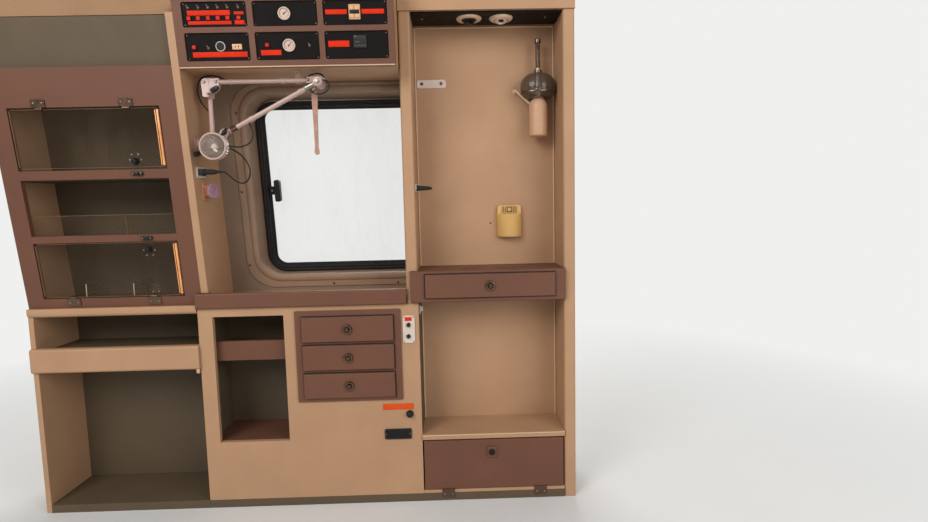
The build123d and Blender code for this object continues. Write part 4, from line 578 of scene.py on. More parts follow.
for step in range(7):
    grip.slab(on_wall(-147, 1146 + 9.5 * step, SKIN_Y, 37), 15, 3.4, 1.4, 1.2)
grip.turned(on_wall(-170, LATCH_Z, SKIN_Y, 19.3), ((9, 0), (9, 3), (7.5, 4.5)), foot=True).done()
screws("latch_screws", "zinc", [(on_wall(-170, LATCH_Z, SKIN_Y, 23.8), 4, 0.4)])
Piece("pane_border", "rubber_black").plate(
    WINDOW, 586, 622.8, 48, ((3.8, 5.3), (9, 5.3), (9, 5.1), (3.8, 5.1)), loop=True,
    corner=10).done()

# Clear flaps: pane edges, the right ones painted bright as a glow of light carried along the
# acrylic and the others dull, catches, keepers, screws
FLAP_X, FLAP_W, FLAP_H = -672.5, 489, 194
CATCH_X = -525
for body, z, catch_z, inward, keeper_z in (
    ("upper_flap", 1346, 1270, 1, 1229),
    ("lower_flap", 896.5, 969, -1, 1008),
):
    # Right edges of the pane, painted bright: a glow of light carried along the acrylic
    edge = Piece(body + "_edges", "pane_edge", body)
    edge.slab(on_wall(-431.6, z, 0, -6.9), 6.6, FLAP_H - 10, 7.2, 0.8, 0.3)
    edge.slab(on_wall(-439, z, 0, -0.4), 3.2, FLAP_H - 14, 0.8, 0.6, 0.2).done()
    rim = Piece(body + "_rim", "pane_dull", body)
    rim.slab(on_wall(-915.6, z, 0, -6.7), 2, FLAP_H - 10, 6.8, 0.8, 0.3)
    for side in (-1, 1):
        place = on_wall(FLAP_X, z + side * (FLAP_H / 2 - 1.4), 0, -6.6)
        rim.slab(place, FLAP_W - 10, 1.4, 6.6, 0.5, 0.2)
    rim.done()
    catch = Piece(body + "_catch", "fitting_black", body)
    catch.turned(on_wall(CATCH_X, catch_z, 0, 15.4), ((8.4, 0), (8.4, 1.2), (6.5, 2.6), (3, 2.2)))
    catch.turned(on_wall(CATCH_X, catch_z), ((14, 0), (14, 1.2), (12.5, 2.2))).done()
    screws(body + "_screws", "zinc", [
        (on_wall(x, catch_z + inward * rise, 0, -0.2), 3.2, x)
        for x, rise in ((-544, 4), (-506, 4), (-536, 22), (-514, 22))], body)
    keeper = Piece(body + "_keeper", "fitting_black")
    keeper.slab(on_wall(CATCH_X, keeper_z), 38, 12, 7, 3, 1.5)
    keeper.slab(on_wall(CATCH_X, keeper_z, 0, 7), 16, 9, 6, 3, 2).done()
    screws(body + "_keeper_screws", "zinc",
           [(on_wall(x, keeper_z, 0, 7), 2.8, x) for x in (-538.5, -511.5)])
Piece("lower_leaf", "flap_clear", "lower_flap").slab(
    on_wall(-523, 827, 0, -0.2), 34, 34, 2.2, 3).done()
screws("hinge_screws", "zinc",
       [(on_wall(x, z, 0, 3.3), 3.2, x + z) for z in (1462, 782) for x in (-829, -801, -544, -516)]
       + [(front(x, -3.3, 26), 3.4, x) for x in (487, 517, 831, 861)])
screws("leaf_screws", "zinc", [(on_wall(x, 816, 0, 2), 3, x) for x in (-532, -512)], "lower_flap")

# Clear lip of the middle bay and the clear dividers of the lower one
Piece("middle_lip", "flap_clear").slab(on_wall(-672, 1052, 0, -21.6), 560, 70, 3, 2).done()
brim = Piece("middle_lip_edge", "pane_dull")
brim.slab(on_wall(-672, 1087.4, 0, -21.8), 560, 1.6, 3.4, 0.6, 0.2)
brim.slab(on_wall(-600, 1052, 0, -18.4), 1.4, 66, 0.8, 0.5, 0.2).done()
for number, x in enumerate((-620, -790)):
    Piece(f"bay_divider_{number}", "flap_clear").slab(on_side(x, 100, 812), 130, 70, 3, 8).done()
    Piece(f"divider_edge_{number}", "trim_pale").slab(
        front(x + 1.5, 35.2, 812), 3.2, 62, 1.2, 0.5, 0.3).done()

# Console modules: blank red labels, switches, gauges and sockets
MODULE_X = {"left": -312, "middle": -86, "right": 139}
MODULE_ROWS = {"low": (1583, 1669), "top": (1686, 1762)}
MODULE_W = 207
MODULE_SET = -5
PANEL_T = 3.8


def on_module(column, row, across, up, lift=0):
    """Placement on a module's face, by shares across and up it."""
    low, top = MODULE_ROWS[row]
    x, z = MODULE_X[column] + across * MODULE_W, low + up * (top - low)
    return on_wall(x, z, 0, lift + MODULE_SET)


LABELS = (
    # column, row, from across, to across, from up, to up
    ("left", "top", 0.08, 0.74, 0.47, 0.67),
    ("left", "top", 0.08, 0.75, 0.11, 0.25),
    ("left", "top", 0.80, 0.95, 0.49, 0.61),
    ("left", "top", 0.80, 0.95, 0.10, 0.27),
    ("right", "top", 0.035, 0.37, 0.44, 0.63),
    ("right", "top", 0.60, 0.95, 0.44, 0.63),
    ("left", "low", 0.094, 0.95, 0.14, 0.33),
    ("middle", "low", 0.07, 0.39, 0.18, 0.37),
    ("right", "low", 0.05, 0.38, 0.44, 0.66),
)
labels = Piece("console_labels", "label_red")
for column, row, left, right, low, top in LABELS:
    height = MODULE_ROWS[row][1] - MODULE_ROWS[row][0]
    place = on_module(column, row, (left + right) / 2, (low + top) / 2)
    labels.slab(place, (right - left) * MODULE_W, (top - low) * height, 1.2, 1.2, 0.5)
labels.done()
rockers = Piece("console_rockers", "pilot_red")
frames = Piece("rocker_frames", "ink", replaces=["console_switches"])
for across, rocker_h in ((0.10, 11), (0.245, 11), (0.40, 11), (0.55, 11), (0.70, 11), (0.87, 10)):
    place = on_module("left", "top", across, 0.36)
    frames.plate(place, 15, 15, 2, ((0, 0), (0, 2.4), (0.8, 3), (2, 3), (2.2, 1.4)), foot=True)
    rockers.plate(place, 11, rocker_h, 0.8, ((0, 1), (0, 4.2), (0.5, 4.8)), foot=True)
for column, across, up in (("left", 0.13, 0.5), ("middle", 0.18, 0.54)):
    place = on_module(column, "low", across, up)
    frames.turned(place, ((8.5, 0), (8.5, 2.4), (7.6, 3.2), (6.4, 3.2)), foot=True)
    rockers.plate(place, 10.8, 10.8, 1.4, ((0, 1), (0, 5.6), (0.6, 6.4)), foot=True)
rockers.done()
frames.done()
TOGGLE_LEAN = Matrix.Rotation(radians(-24), 4, "X")
toggles = Piece("console_toggles", "keypad_grey")
for spot in [("left", "top", across, 0.78) for across in (0.10, 0.26, 0.41, 0.56, 0.71, 0.875)] + [
        ("left", "low", 0.35, 0.47), ("middle", "low", 0.84, 0.51)]:
    place = on_module(*spot)
    toggles.turned(place, ((4.4, 0), (4.4, 1.4), (3, 1.4), (3, 4), (2.2, 4.6)), 6)
    toggles.turned(place @ TOGGLE_LEAN, ((1.2, 3), (1.4, 8), (2, 12), (1.4, 13.4)), 16)
toggles.done()
RIM = ((20, 0), (20, 4.6), (19, 6), (17, 6), (16.4, 3.4), (16.4, 1))
rims = Piece("gauge_rims", "instrument_white", replaces=["console_instruments"])
faces = Piece("gauge_faces", "dial_face")
marks = Piece("gauge_marks", "ink")
glass = Piece("gauge_glass", "lamp_glass")
for row, across, up, aim in (("top", 0.485, 0.50, -0.8), ("low", 0.52, 0.52, -0.7)):
    place = on_module("middle", row, across, up)
    rims.turned(place, RIM, 48, foot=True)
    faces.turned(place, ((16.6, 1), (16.6, 2.4)), 48)
    glass.turned(place, ((16.5, 4), (16.3, 4.8), (9, 5.4)), 48)
    for tick in range(25):
        turn = place @ Matrix.Rotation(radians(-135 + 11.25 * tick), 4, "Z")
        reach, length = (13.4, 3.4) if tick % 4 == 0 else (14, 2)
        marks.slab(turn @ Matrix.Translation((0, reach, 2.4)), 0.7, length, 0.2, 0.2, 0.05)
    hand = place @ Matrix.Rotation(aim, 4, "Z") @ Matrix.Translation((0, 0, 2.9))
    marks.prism(hand, ((-1.2, -5), (1.2, -5), (0.5, 12), (-0.5, 12)), 0.5)
    marks.turned(place, ((2.4, 2.4), (2.4, 3.8), (1.6, 4.2)), 20)
for piece in (rims, faces, marks, glass):
    piece.done()
SOCKET = on_module("left", "low", 0.54, 0.52)
Piece("socket_ring", "plate_white").turned(SOCKET, (
    (15.5, 0), (15.5, 2.6), (14.6, 3.6), (13.6, 3.6), (13, 2.6), (13, 0)), 40, loop=True).done()
well = Piece("socket_well", "ink")
well.turned(SOCKET, ((13, 0.4), (13, 1.6), (9.6, 1.8), (9, 0.8)), 36)
# Two dark marks on the cream outlet: painted shade of its pin holes
for across in (0.775, 0.825):
    well.slab(on_module("left", "low", across, 0.51, 4.1), 3, 6, 0.5, 1.4, 0.1)
well.slab(on_module("right", "top", 0.49, 0.52, 3.6), 31, 11, 1.4, 1, 0.4).done()
cream = Piece("console_cream", "control_cream")
cream.slab(on_module("left", "low", 0.80, 0.50), 31, 17, 4.2, 2)
cream.plate(on_module("right", "top", 0.49, 0.52), 37, 46, 2, (
    (0, 0), (0, 3), (0.8, PANEL_T), (2.6, PANEL_T), (3, 3)), foot=True)
for across, up in ((0.445, 0.36), (0.535, 0.36), (0.445, 0.68), (0.535, 0.68)):
    cream.slab(on_module("right", "top", across, up, 3), 15, 12, 3.4, 1.4)
cream.done()
Piece("thermostat", "trim_black").plate(
    on_module("right", "low", 0.55, 0.62), 44, 40, 2, ((0, 0), (0, 3), (0.8, PANEL_T)),
    foot=True).done()
keys = Piece("thermostat_keys", "keypad_grey")
for key in range(4):
    keys.slab(on_module("right", "low", 0.48 + 0.047 * key, 0.47, PANEL_T), 4, 3, 1.6, 1)
keys.slab(on_module("right", "low", 0.51, 0.60, PANEL_T), 17, 1.6, 1, 0.6, 0.3).done()
Piece("thermostat_display", "display_dark").slab(
    on_module("right", "low", 0.55, 0.76, PANEL_T), 35, 11, 0.8, 1, 0.3).done()
screws("module_screws", "bronze", [
    (on_wall(x, z, 0, MODULE_SET), 2.4, x + z)
    for left in MODULE_X.values() for low, top in MODULE_ROWS.values()
    for x in (left + 7, left + MODULE_W - 7) for z in (low + 7, top - 7)])

# Lamp head: ribbed shell with its ear, fluted reflector, bulb, domed lens and the fork's thumb nut
HEAD = front(-240, -76, 1308)
FORK_X, FORK_Z = -214, 1358
shell = Piece("lamp_shell", "lamp_enamel", "lamp_head", ["lamp_head"])
shell.turned(HEAD, (
    (14, -6.5), (23, -6), (28, -1), (31, 2), (39, 10), (41, 13), (41, 37), (44.6, 39), (45, 43),
    (43.5, 44.6), (39.6, 44.6), (38.6, 42), (37.6, 39), (35, 30), (27, 10), (18, 4)), 72, foot=True)
shell.turned(HEAD, (
    (40, 14), (42, 14), (42.6, 16), (42.6, 34), (42, 36), (40, 36)), 120, loop=True, ribs=1.8)
shell.prism(front(0, -68.5, 0), (
    (-250, 1318), (-236, 1312), (-226, 1322), (-205, 1348), (-202.6, 1356), (-204, 1364),
    (-211, 1369.6), (-220, 1369), (-228, 1364)), 7.6).done()
Piece("lamp_reflector", "reflector", "lamp_head").turned(HEAD, (
    (8, 10), (13, 10.4), (22, 15), (30, 25), (34.6, 34), (36.8, 40)), 96, head=False,
    ribs=0.7).done()
Piece("lamp_bulb", "dial_face", "lamp_head").turned(HEAD, (
    (7, 9), (7, 13), (5, 15), (8, 20), (10, 26), (8.6, 32), (5, 35), (2, 36)), 28).done()
Piece("lamp_cover", "lamp_glass", "lamp_head", ["lamp_lens"]).turned(HEAD, (
    (38.4, 40), (38.4, 41.5), (35, 43.6), (31, 44.6), (29.6, 45.4), (25, 46), (23.4, 46.8),
    (17, 47), (15.4, 47.8), (8, 48), (6, 47.4)), 72, foot=True).done()
nut = Piece("head_knob", "fitting_black", "lamp_head")
nut.turned(front(FORK_X, -76.1, FORK_Z), ((8, 0), (8, 4), (6, 6), (6, 11), (4, 13)), 28)
for side in (-1, 1):
    wing = front(FORK_X, -78, FORK_Z, 0.9) @ Matrix.Translation((side * 9, 0, 0))
    nut.slab(wing, 13, 6, 11, 3, 1.5)
nut.done()

# Lamp arm: threaded sleeve by the fork, bright sleeve and cap at the far elbow
ELBOW_X, ELBOW_Z = 100, 1520
ARM_FAR, ARM_NEAR = Vector((ELBOW_X, -58, ELBOW_Z)), Vector((FORK_X, -58, FORK_Z))
ARM_DOWN = (ARM_NEAR - ARM_FAR).normalized()
thread = [(8.4, 0)]
for step in range(9):
    thread += [(9.6, 1 + 2.6 * step), (8.6, 2.3 + 2.6 * step)]
sleeve = Piece("arm_thread", "bronze", "lamp_arm")
sleeve.turned(along(ARM_NEAR - ARM_DOWN * 40, ARM_NEAR), thread, 28, foot=True)
sleeve.turned(front(FORK_X, -67.8, FORK_Z), ((11, -21), (12.4, -20), (12.4, -1), (11.4, 0)), 36,
              foot=True).done()
sleeve = Piece("arm_sleeve", "zinc", "lamp_arm")
sleeve.turned(along(ARM_FAR + ARM_DOWN * 14, ARM_NEAR), (
    (8.6, 0), (9.6, 1), (9.6, 24), (10.8, 25), (10.8, 33), (8.6, 35)), 36, foot=True)
sleeve.turned(front(ELBOW_X, -71.6, ELBOW_Z), ((9, 0), (9, 2), (7.6, 3.6), (4, 4)), 6).done()
collar = Piece("arm_collars", "lamp_enamel", "lamp_arm")
for reach in (60, 250):
    collar.turned(along(ARM_FAR + ARM_DOWN * reach, ARM_NEAR), (
        (8.2, 0), (9.4, 1), (9.4, 13), (8.2, 14)), 36, foot=True)
collar.turned(front(ELBOW_X, -45.3, ELBOW_Z), ((17.2, 0), (18.2, 1.5), (18.2, 6), (17.2, 7.5)), 44,
              foot=True)
collar.turned(front(ELBOW_X, -68, ELBOW_Z), ((15.6, 0), (15.6, 1.6), (14, 3.4), (9, 4)), 40).done()

# Riser and boom: two tubes, bracket at the first elbow, hub and plate at the second, strap hanger
RISER_X, RISER_Y = -284, -5
BOOM_Y, BOOM_Z = -32, 1531
boom = Piece("boom_tubes", "lamp_enamel", "lamp_boom", ["lamp_boom"])
boom.turned(upright(RISER_X, RISER_Y, 1345.4), ((8, 0), (8, 150)), 36, foot=True)
boom.turned(on_side(-262, BOOM_Y, BOOM_Z), ((8, 0), (8, 364)), 36, foot=True)
boom.prism(front(0, 5, 0), (
    (-294, 1486), (-291, 1481.5), (-276, 1481.5), (-273, 1486), (-271, 1500), (-271, 1542.4),
    (-287, 1542.4), (-293, 1539), (-296.4, 1532), (-297, 1520)), 46)
boom.prism(front(0, -22, 0), (
    (-273, 1494), (-264, 1494), (-254, 1497), (-246, 1503), (-240, 1513), (-236, 1540),
    (-239, 1542), (-273, 1542)), 18.6)
boom.turned(front(ELBOW_X, -22, ELBOW_Z), ((17, 0), (18, 1), (18, 21), (17, 22.4)), 44, foot=True)
boom.prism(front(0, -41.8, 0), (
    (58, 1541), (108, 1541.4), (119, 1534), (120.5, 1518), (112, 1503), (98, 1500.6), (84, 1507),
    (70, 1520), (58, 1521)), 2.4)
boom.turned(upright(RISER_X, RISER_Y, 1346), (
    (8.2, 0), (10.6, 0.6), (10.6, 14), (8.2, 16)), 36, foot=True)
for x in (-206, -30):
    boom.turned(on_side(x, BOOM_Y, BOOM_Z), (
        (8.2, 0), (9.2, 0.8), (9.2, 11), (8.2, 12)), 36, foot=True)
STRAP_X, STRAP_Y, PIN_Z = 80, -34, 1490
boom.slab(front(STRAP_X, -25.2, 1506), 16, 48, 4, 3)
boom.turned(front(STRAP_X, -27, PIN_Z), ((3.4, 0), (3.4, 9)), 24, foot=True).done()
BRACKET_Y, ELBOW_PLATE_Y = -41, -44.2
bolts = Piece("boom_bolts", "bronze", "lamp_boom")
for x, y, z in ((-287, BRACKET_Y, 1530), (-246, BRACKET_Y, 1531), (-276, BRACKET_Y, 1491),
                (64, ELBOW_PLATE_Y, 1531), (104, ELBOW_PLATE_Y, 1534)):
    bolts.turned(front(x, y, z), ((5, 0), (5, 0.8), (4, 1.6)), 24)
    bolts.turned(front(x, y, z), ((3.6, 1.2), (3.6, 3.2), (3, 3.8)), 6)
bolts.done()
knob = Piece("boom_knob", "fitting_black", "lamp_boom")
knob.turned(front(-252, -40.6, 1505), ((7.5, 0), (7.5, 3), (6.2, 5), (6.2, 13), (4.4, 14)), 28)
knob.slab(front(-250, -45, 1504, 0.5), 32, 17, 8, 8, 3).done()

# Hanging strap: a rubber tongue that narrows to a round end, on a small ring
TONGUE = (
    # height, half width
    (1497, 5), (1490, 8.6), (1480, 10), (1460, 9.6), (1400, 7.8), (1340, 6.6), (1304, 6.4),
    (1297, 8), (1289, 8.6), (1283.5, 6.4), (1281.2, 2),
)
tongue = Piece("strap_tongue", "strap_grey", "strap", ["hanging_strap"])
outline = ([(STRAP_X + half, z) for z, half in TONGUE]
           + [(STRAP_X - half, z) for z, half in TONGUE[::-1]])
tongue.prism(front(0, -29.7, 0), outline, 4.4)
for z in range(1310, 1470, 12):
    tongue.slab(front(STRAP_X, STRAP_Y, z), 7, 2, 0.7, 0.8, 0.3)
tongue.done()
Piece("strap_eye", "chrome", "strap").turned(front(STRAP_X, STRAP_Y, PIN_Z), (
    (3.6, 0), (6.4, 0), (6.4, 1), (5.6, 1.8), (4.4, 1.8), (3.6, 1)), 32, loop=True).done()

# Lamp mount on the pillar's side with its lever, socket plate, hook with its buffer, soffit clip
MOUNT_X, SOCKET_X = -334, -333
mount = Piece("mount_boss", "lamp_enamel")
mount.turned(on_side(MOUNT_X, RISER_Y, 1327), (
    (21, 0), (21, 3), (18, 5.4), (17, 8), (17, 34)), 44, foot=True)
mount.turned(upright(RISER_X, RISER_Y, 1306), (
    (16, -1.6), (19.6, 0), (19.6, 5), (19.1, 5.6), (19.1, 33), (19.6, 33.6), (19.6, 38), (18, 39)),
    44, foot=True).done()
Piece("mount_lever", "fitting_black").turned(along((-306, -12, 1302), (-329, -58, 1287)), (
    (6, 0), (6.6, 2), (6.4, 20), (8.6, 36), (9.2, 46), (7, 51), (3, 53)), 32, foot=True).done()
screws("pillar_screws", "bronze",
       [(on_side(MOUNT_X, y, z), 3.2, y) for z in (1299, 1348) for y in (-24, 14)]
       + [(on_side(SOCKET_X, y, z), 2.2, y) for z in (1217, 1245) for y in (-27, 35)]
       + [(on_side(-335.4, 20, z), 3.4, z) for z in (1144, 1190)])
Piece("socket_plate", "plate_white", replaces=["lamp_socket"]).slab(
    on_side(PILLAR_SIDE_X, 4, 1231), 70, 37, 6.8, 3).done()
well = Piece("socket_plate_well", "fitting_black")
well.slab(on_side(SOCKET_X, 5, 1231), 56, 23, 1, 2, 0.4)
well.slab(on_side(SOCKET_X, -16, 1231), 24, 23, 19, 3, 2).done()
hook = Piece("hook_bracket", "bracket_peach", replaces=["wall_hooks"])
hook.slab(on_side(PILLAR_SIDE_X, 20, 1167), 25, 60, 4.2, 5)
hook.prism(front(0, 25, 0), (
    (-336, 1152), (-324, 1152), (-316, 1158), (-304, 1162), (-296, 1163), (-296, 1173),
    (-304, 1175), (-314, 1182), (-322, 1188), (-336, 1188)), 10).done()
HOOK_TURN = radians(24)
hook_out = Vector((cos(HOOK_TURN), -sin(HOOK_TURN), 0))
Piece("hook_buffer", "mauve_pad").turned(facing(Vector((-306, 16, 1167)), hook_out), (
    (23, 0), (26, 1.6), (27.6, 4), (27.6, 7.6), (26, 10.4), (22, 12), (8, 12.2), (6.6, 11)), 48,
    foot=True).done()
Piece("soffit_clip", "trim_pale").prism(on_side(16, 0, 0), (
    (-40, 1561.7), (-17, 1561.7), (-16.6, 1530), (-18.4, 1523), (-20.6, 1525), (-21, 1540),
    (-20.6, 1553), (-23, 1557), (-40, 1557.4)), 16).done()
screws("clip_screw", "bronze", [(under(24, -32, 1557.3), 3.4, 0.4)])

# Niche: pale beads in its corners, ceiling screws, swivelling spots
BEAD_Y, BEAD_TOP = 172.8, 1758.6
bead = Piece("niche_beads", "trim_pale")
for x in (413.4, 934.6):
    bead.wire([(x, BEAD_Y, 866), (x, BEAD_Y, 1757)], 3.2)
    bead.wire([(x, BEAD_Y, 257), (x, BEAD_Y, 751)], 3.2)
bead.wire([(413, BEAD_Y, BEAD_TOP), (935, BEAD_Y, BEAD_TOP)], 3.2)
bead.wire([(411, -6.4, 253.6), (937, -6.4, 253.6)], 2.6).done()
SPOT_Y, RING_Z, EYE_Z = 66, 1757.7, 1759
DARK_SPOT_X, PALE_SPOT_X = 616, 730
SPOT_TILT = Matrix.Rotation(radians(22), 4, "X")
DARK_EYE = under(DARK_SPOT_X, SPOT_Y, EYE_Z) @ SPOT_TILT
PALE_EYE = under(PALE_SPOT_X, SPOT_Y, EYE_Z) @ SPOT_TILT
screws("ceiling_screws", "zinc", [(under(x, SPOT_Y, 1758), 4, x) for x in (450, 888)])
rings = Piece("spot_rings", "spot_rim", replaces=["spot_lamps"])
rings.turned(under(DARK_SPOT_X, SPOT_Y, RING_Z), (
    (45, 0), (45, 2.4), (43, 5.4), (37, 8), (31, 8.6), (28, 7.4), (26.4, 4), (26, 0)), 64,
    foot=True)
rings.turned(under(PALE_SPOT_X, SPOT_Y, RING_Z), (
    (42, 0), (42, 2.4), (40, 6), (34, 9.6), (28, 11), (25.6, 10), (24.4, 6), (24, 0)), 64,
    foot=True).done()
Piece("spot_eye_dark", "fitting_black").turned(DARK_EYE, (
    (25.5, 1), (25.6, 6), (23, 12), (19, 16), (16, 17.4), (14.6, 17), (13, 12), (11, 9)), 44).done()
Piece("spot_eye_pale", "instrument_white").turned(PALE_EYE, (
    (24, 1), (24, 7), (21.6, 12.4), (17, 16.4), (13.4, 17.8), (11.6, 17.2), (10.6, 13), (9.6, 10)),
    44).done()
hole = Piece("spot_eye_hole", "ink")
hole.turned(PALE_EYE, ((10.6, 10.6), (10.2, 12.2), (3, 12.4)), 32)
hole.turned(DARK_EYE, ((12, 9), (11, 10.2), (4, 10.6)), 32).done()

# Niche walls: strip with its screws, a plugged hole, clip with its finger, catch
Piece("niche_strip", "plate_white", replaces=["niche_fittings"]).plate(
    front(473, NICHE_BACK_Y, 1555), 110, 32, 7, ((0, 0), (0, 2.4), (1, 3.4), (5, 3.4), (6, 2.9)),
    foot=True, corner=8).done()
dots = Piece("strip_screws", "bronze")
for x in (438, 510):
    dots.screw(front(x, 173, 1556), 6, x)
dots.turned(front(688, 176, 1026), ((3.6, 0), (3.6, 0.6), (2.4, 1)), 24).done()
Piece("clip_plate", "chrome").slab(on_side(NICHE_SIDE_X, 25, 1161), 38, 32, 4.6, 3, 1).done()
Piece("clip_finger", "fitting_black").turned(along((414, 24, 1161), (470, 24, 1160)), (
    (9, 0), (9.4, 4), (8.6, 20), (6.4, 44), (4.4, 54), (2, 56)), 32, foot=True).done()
catch = Piece("niche_catch", "plate_white")
catch.slab(on_side(NICHE_SIDE_X, 59, 716), 19, 33, 4, 2.5)
catch.slab(on_side(414, 59, 718), 11, 20, 9, 3, 2).done()

# Wall holder: a half-round pot, and a hood whose bars stand over a dark sheet, the painted shade
# behind the bars
HOLDER_X, HOOD_Z, BAR_Y = 760, 1077, 158.4
HALF_TURN = [pi + pi * step / 36 for step in range(37)]
POT_RIM = (
    # half width, depth, height
    (43, 36, 972), (47, 40, 973), (49, 42, 977), (49, 42, 1053), (49.8, 42.8, 1055),
    (49.8, 42.8, 1060), (48.6, 41.6, 1061), (46, 39, 1060), (45.4, 38.4, 1052), (45.4, 38.4, 990),
    (43, 36, 980),
)
pot = Piece("holder_pot", "holder_yellow", replaces=["wall_holder"])
pot.skin(Matrix.Identity(4), [
    [(HOLDER_X + half * cos(turn), NICHE_BACK_Y + deep * sin(turn), z) for turn in HALF_TURN]
    for half, deep, z in POT_RIM], foot=True, head=True)
pot.slab(front(HOLDER_X, NICHE_BACK_Y, 1066), 92, 56, 15.6, 12, 3).done()
# Sheet behind the bars, a darker yellow as their painted shade
Piece("holder_shade_sheet", "holder_dark").slab(front(HOLDER_X, 160.2, HOOD_Z), 57, 28, 2, 2).done()
bars = Piece("holder_bars", "holder_yellow")
for x in (-25, -18.5, -12, 12, 18.5, 25):
    bars.slab(front(HOLDER_X + x, BAR_Y, HOOD_Z), 2.6, 25, 1.6, 1)
for z in (1064.5, 1089.5):
    bars.slab(front(HOLDER_X, BAR_Y, z), 56, 2.6, 1.6, 1)
bars.turned(front(HOLDER_X, BAR_Y, HOOD_Z), ((7, 0), (7, 1.6), (6, 2.2), (3, 2.2), (2.6, 1.4)),
            32).done()

# Flow meter: bright manifold in a clear squashed bowl, tube, wire handle and bottle
METER_X, METER_Y = 869, 120
METER = upright(METER_X, METER_Y, 1500)
BOWL = METER @ Matrix.Diagonal((0.955, 0.8, 1, 1))
metal = Piece("meter_manifold", "zinc", replaces=["flow_meter"])
metal.turned(METER, (
    (17, -14), (19, -8), (19, 6), (23, 8), (23, 20), (16, 24), (14, 34), (14, 60), (12, 64),
    (12, 92), (9, 94)), 44, foot=True)
metal.turned(front(METER_X, NICHE_BACK_Y, 1532), (
    (15, 0), (15, 5), (10, 7), (10, 44)), 36, foot=True)
for side in (-1, 1):
    out = facing(Vector((METER_X + side * 12, METER_Y, 1532)), RIGHT * side)
    metal.turned(out, ((6, 0), (6, 8), (10, 9), (11, 14), (9, 20), (4, 22)), 32)
metal.done()
Piece("meter_tube", "dome_clear").turned(METER, (
    (7.8, 92), (8.6, 96), (8.6, 188), (6.6, 192), (6, 190), (7.4, 186), (7.4, 97)), 36,
    loop=True).done()
Piece("meter_core", "pane_dull").turned(METER, ((5.4, 90), (5.4, 186), (4, 189)), 24).done()
cap = Piece("meter_cap", "bronze")
cap.turned(METER, ((11, 184), (11, 196), (9.4, 198)), 32, foot=True)
cap.turned(METER, ((13, 76), (15.6, 77), (15.6, 84), (13, 86)), 40, loop=True)
cap.turned(BOWL, ((68, 2), (69.4, 2.6), (69.4, 6.4), (68, 7)), 80, loop=True).done()
Piece("meter_dome", "dome_clear", replaces=["flow_dome"]).turned(BOWL, (
    (38, -18), (52, -13), (62, -4), (67.6, 8), (69, 22), (67.6, 38), (62, 52), (52, 64), (38, 72),
    (24, 76), (15, 77), (14.6, 74.6), (23.4, 73.6), (37, 69.6), (50.4, 61.8), (60, 50.4),
    (65.3, 37.4), (66.6, 22), (65.3, 8.6), (60, -2.4), (51, -10.8), (38, -15.6)), 72,
    loop=True).done()
handle = Piece("meter_handle", "trim_pale")
handle.turned(front(789, NICHE_BACK_Y, 1521), ((9, 0), (9, 4), (5, 6), (5, 22)), 28, foot=True)
handle.wire(flowing([(851, 130, 1459), (842, 134, 1467), (800, 147, 1509), (787, 151, 1522)]), 5,
            14).done()
Piece("meter_bottle", "bottle_beige", replaces=["flow_bottle"]).turned(METER, (
    (27, -154), (31, -153), (33.4, -150), (34, -146), (34, -46), (33, -37), (29, -27), (24, -20),
    (20, -16), (18, -8)), 56, foot=True).done()

# Drawer locks, each a ring about a button with a painted dark slot, and dark rings round the drawer
# fronts: painted shade of the gaps between the fronts and the surround
DRAWER_X = 153.5
DRAWERS = {"drawer_top": 663.5, "drawer_middle": 559.5, "drawer_low": 455.5}
WIDE_X, WIDE_Z = 669.5, 811
GAP_SHADE_STEPS = ((0, 0), (0, 0.5), (4.4, 0.5), (4.4, 0))
for body, x, y, z in [(body, DRAWER_X, -18.3, z) for body, z in DRAWERS.items()] + [
        ("column_drawer", WIDE_X, -30, WIDE_Z)]:
    Piece(body + "_lock", "bronze", body).turned(front(x, y, z), (
        (17.4, 0), (17.4, 5.4), (16.4, 7.6), (13.4, 8.4), (10.6, 8.2), (9.5, 6.4), (9.3, 2.4),
        (16, 1)), 52, loop=True).done()
    Piece(body + "_button", "bronze", body).turned(front(x, y, z), (
        (7.5, 2.2), (7.5, 11), (6.4, 12.6), (4.6, 12.9)), 36).done()
    # Dark bar on the button: the painted shade of its slot
    Piece(body + "_lock_slot", "ink", body).slab(
        front(x, y - 12.7, z, 0.5), 8.4, 1.7, 0.5, 0.4, 0.1).done()
# Dark rings on the surround are painted shade in the gaps round the drawer fronts
gap = Piece("drawer_gap_shade", "trim_black")
for z in DRAWERS.values():
    gap.plate(front(DRAWER_X, -6.3, z), 336, 98, 3, GAP_SHADE_STEPS, loop=True)
gap.plate(front(WIDE_X, -18, WIDE_Z), 472.6, 91.6, 3, GAP_SHADE_STEPS, loop=True).done()

# Beige rail wrapped round the ledge at the foot of the cabinet's face
LEDGE_Y, LEDGE_Z = 7.9, 744
LEDGE_TURNS = [pi + pi * step / 16 for step in range(9)]
outer, inner = ([(LEDGE_Y + r * cos(turn), LEDGE_Z + r * sin(turn)) for turn in LEDGE_TURNS]
                for r in (13.4, 12.1))
Piece("cabinet_foot_rail", "panel_beige").prism(on_side(-979.6, 0, 0), outer + inner[::-1] + [
    (-4.2, 760.1), (8.5, 760.1), (8.5, 761.6), (-3, 761.6), (-5, 760.6), (-5.5, 758.6)], 596).done()

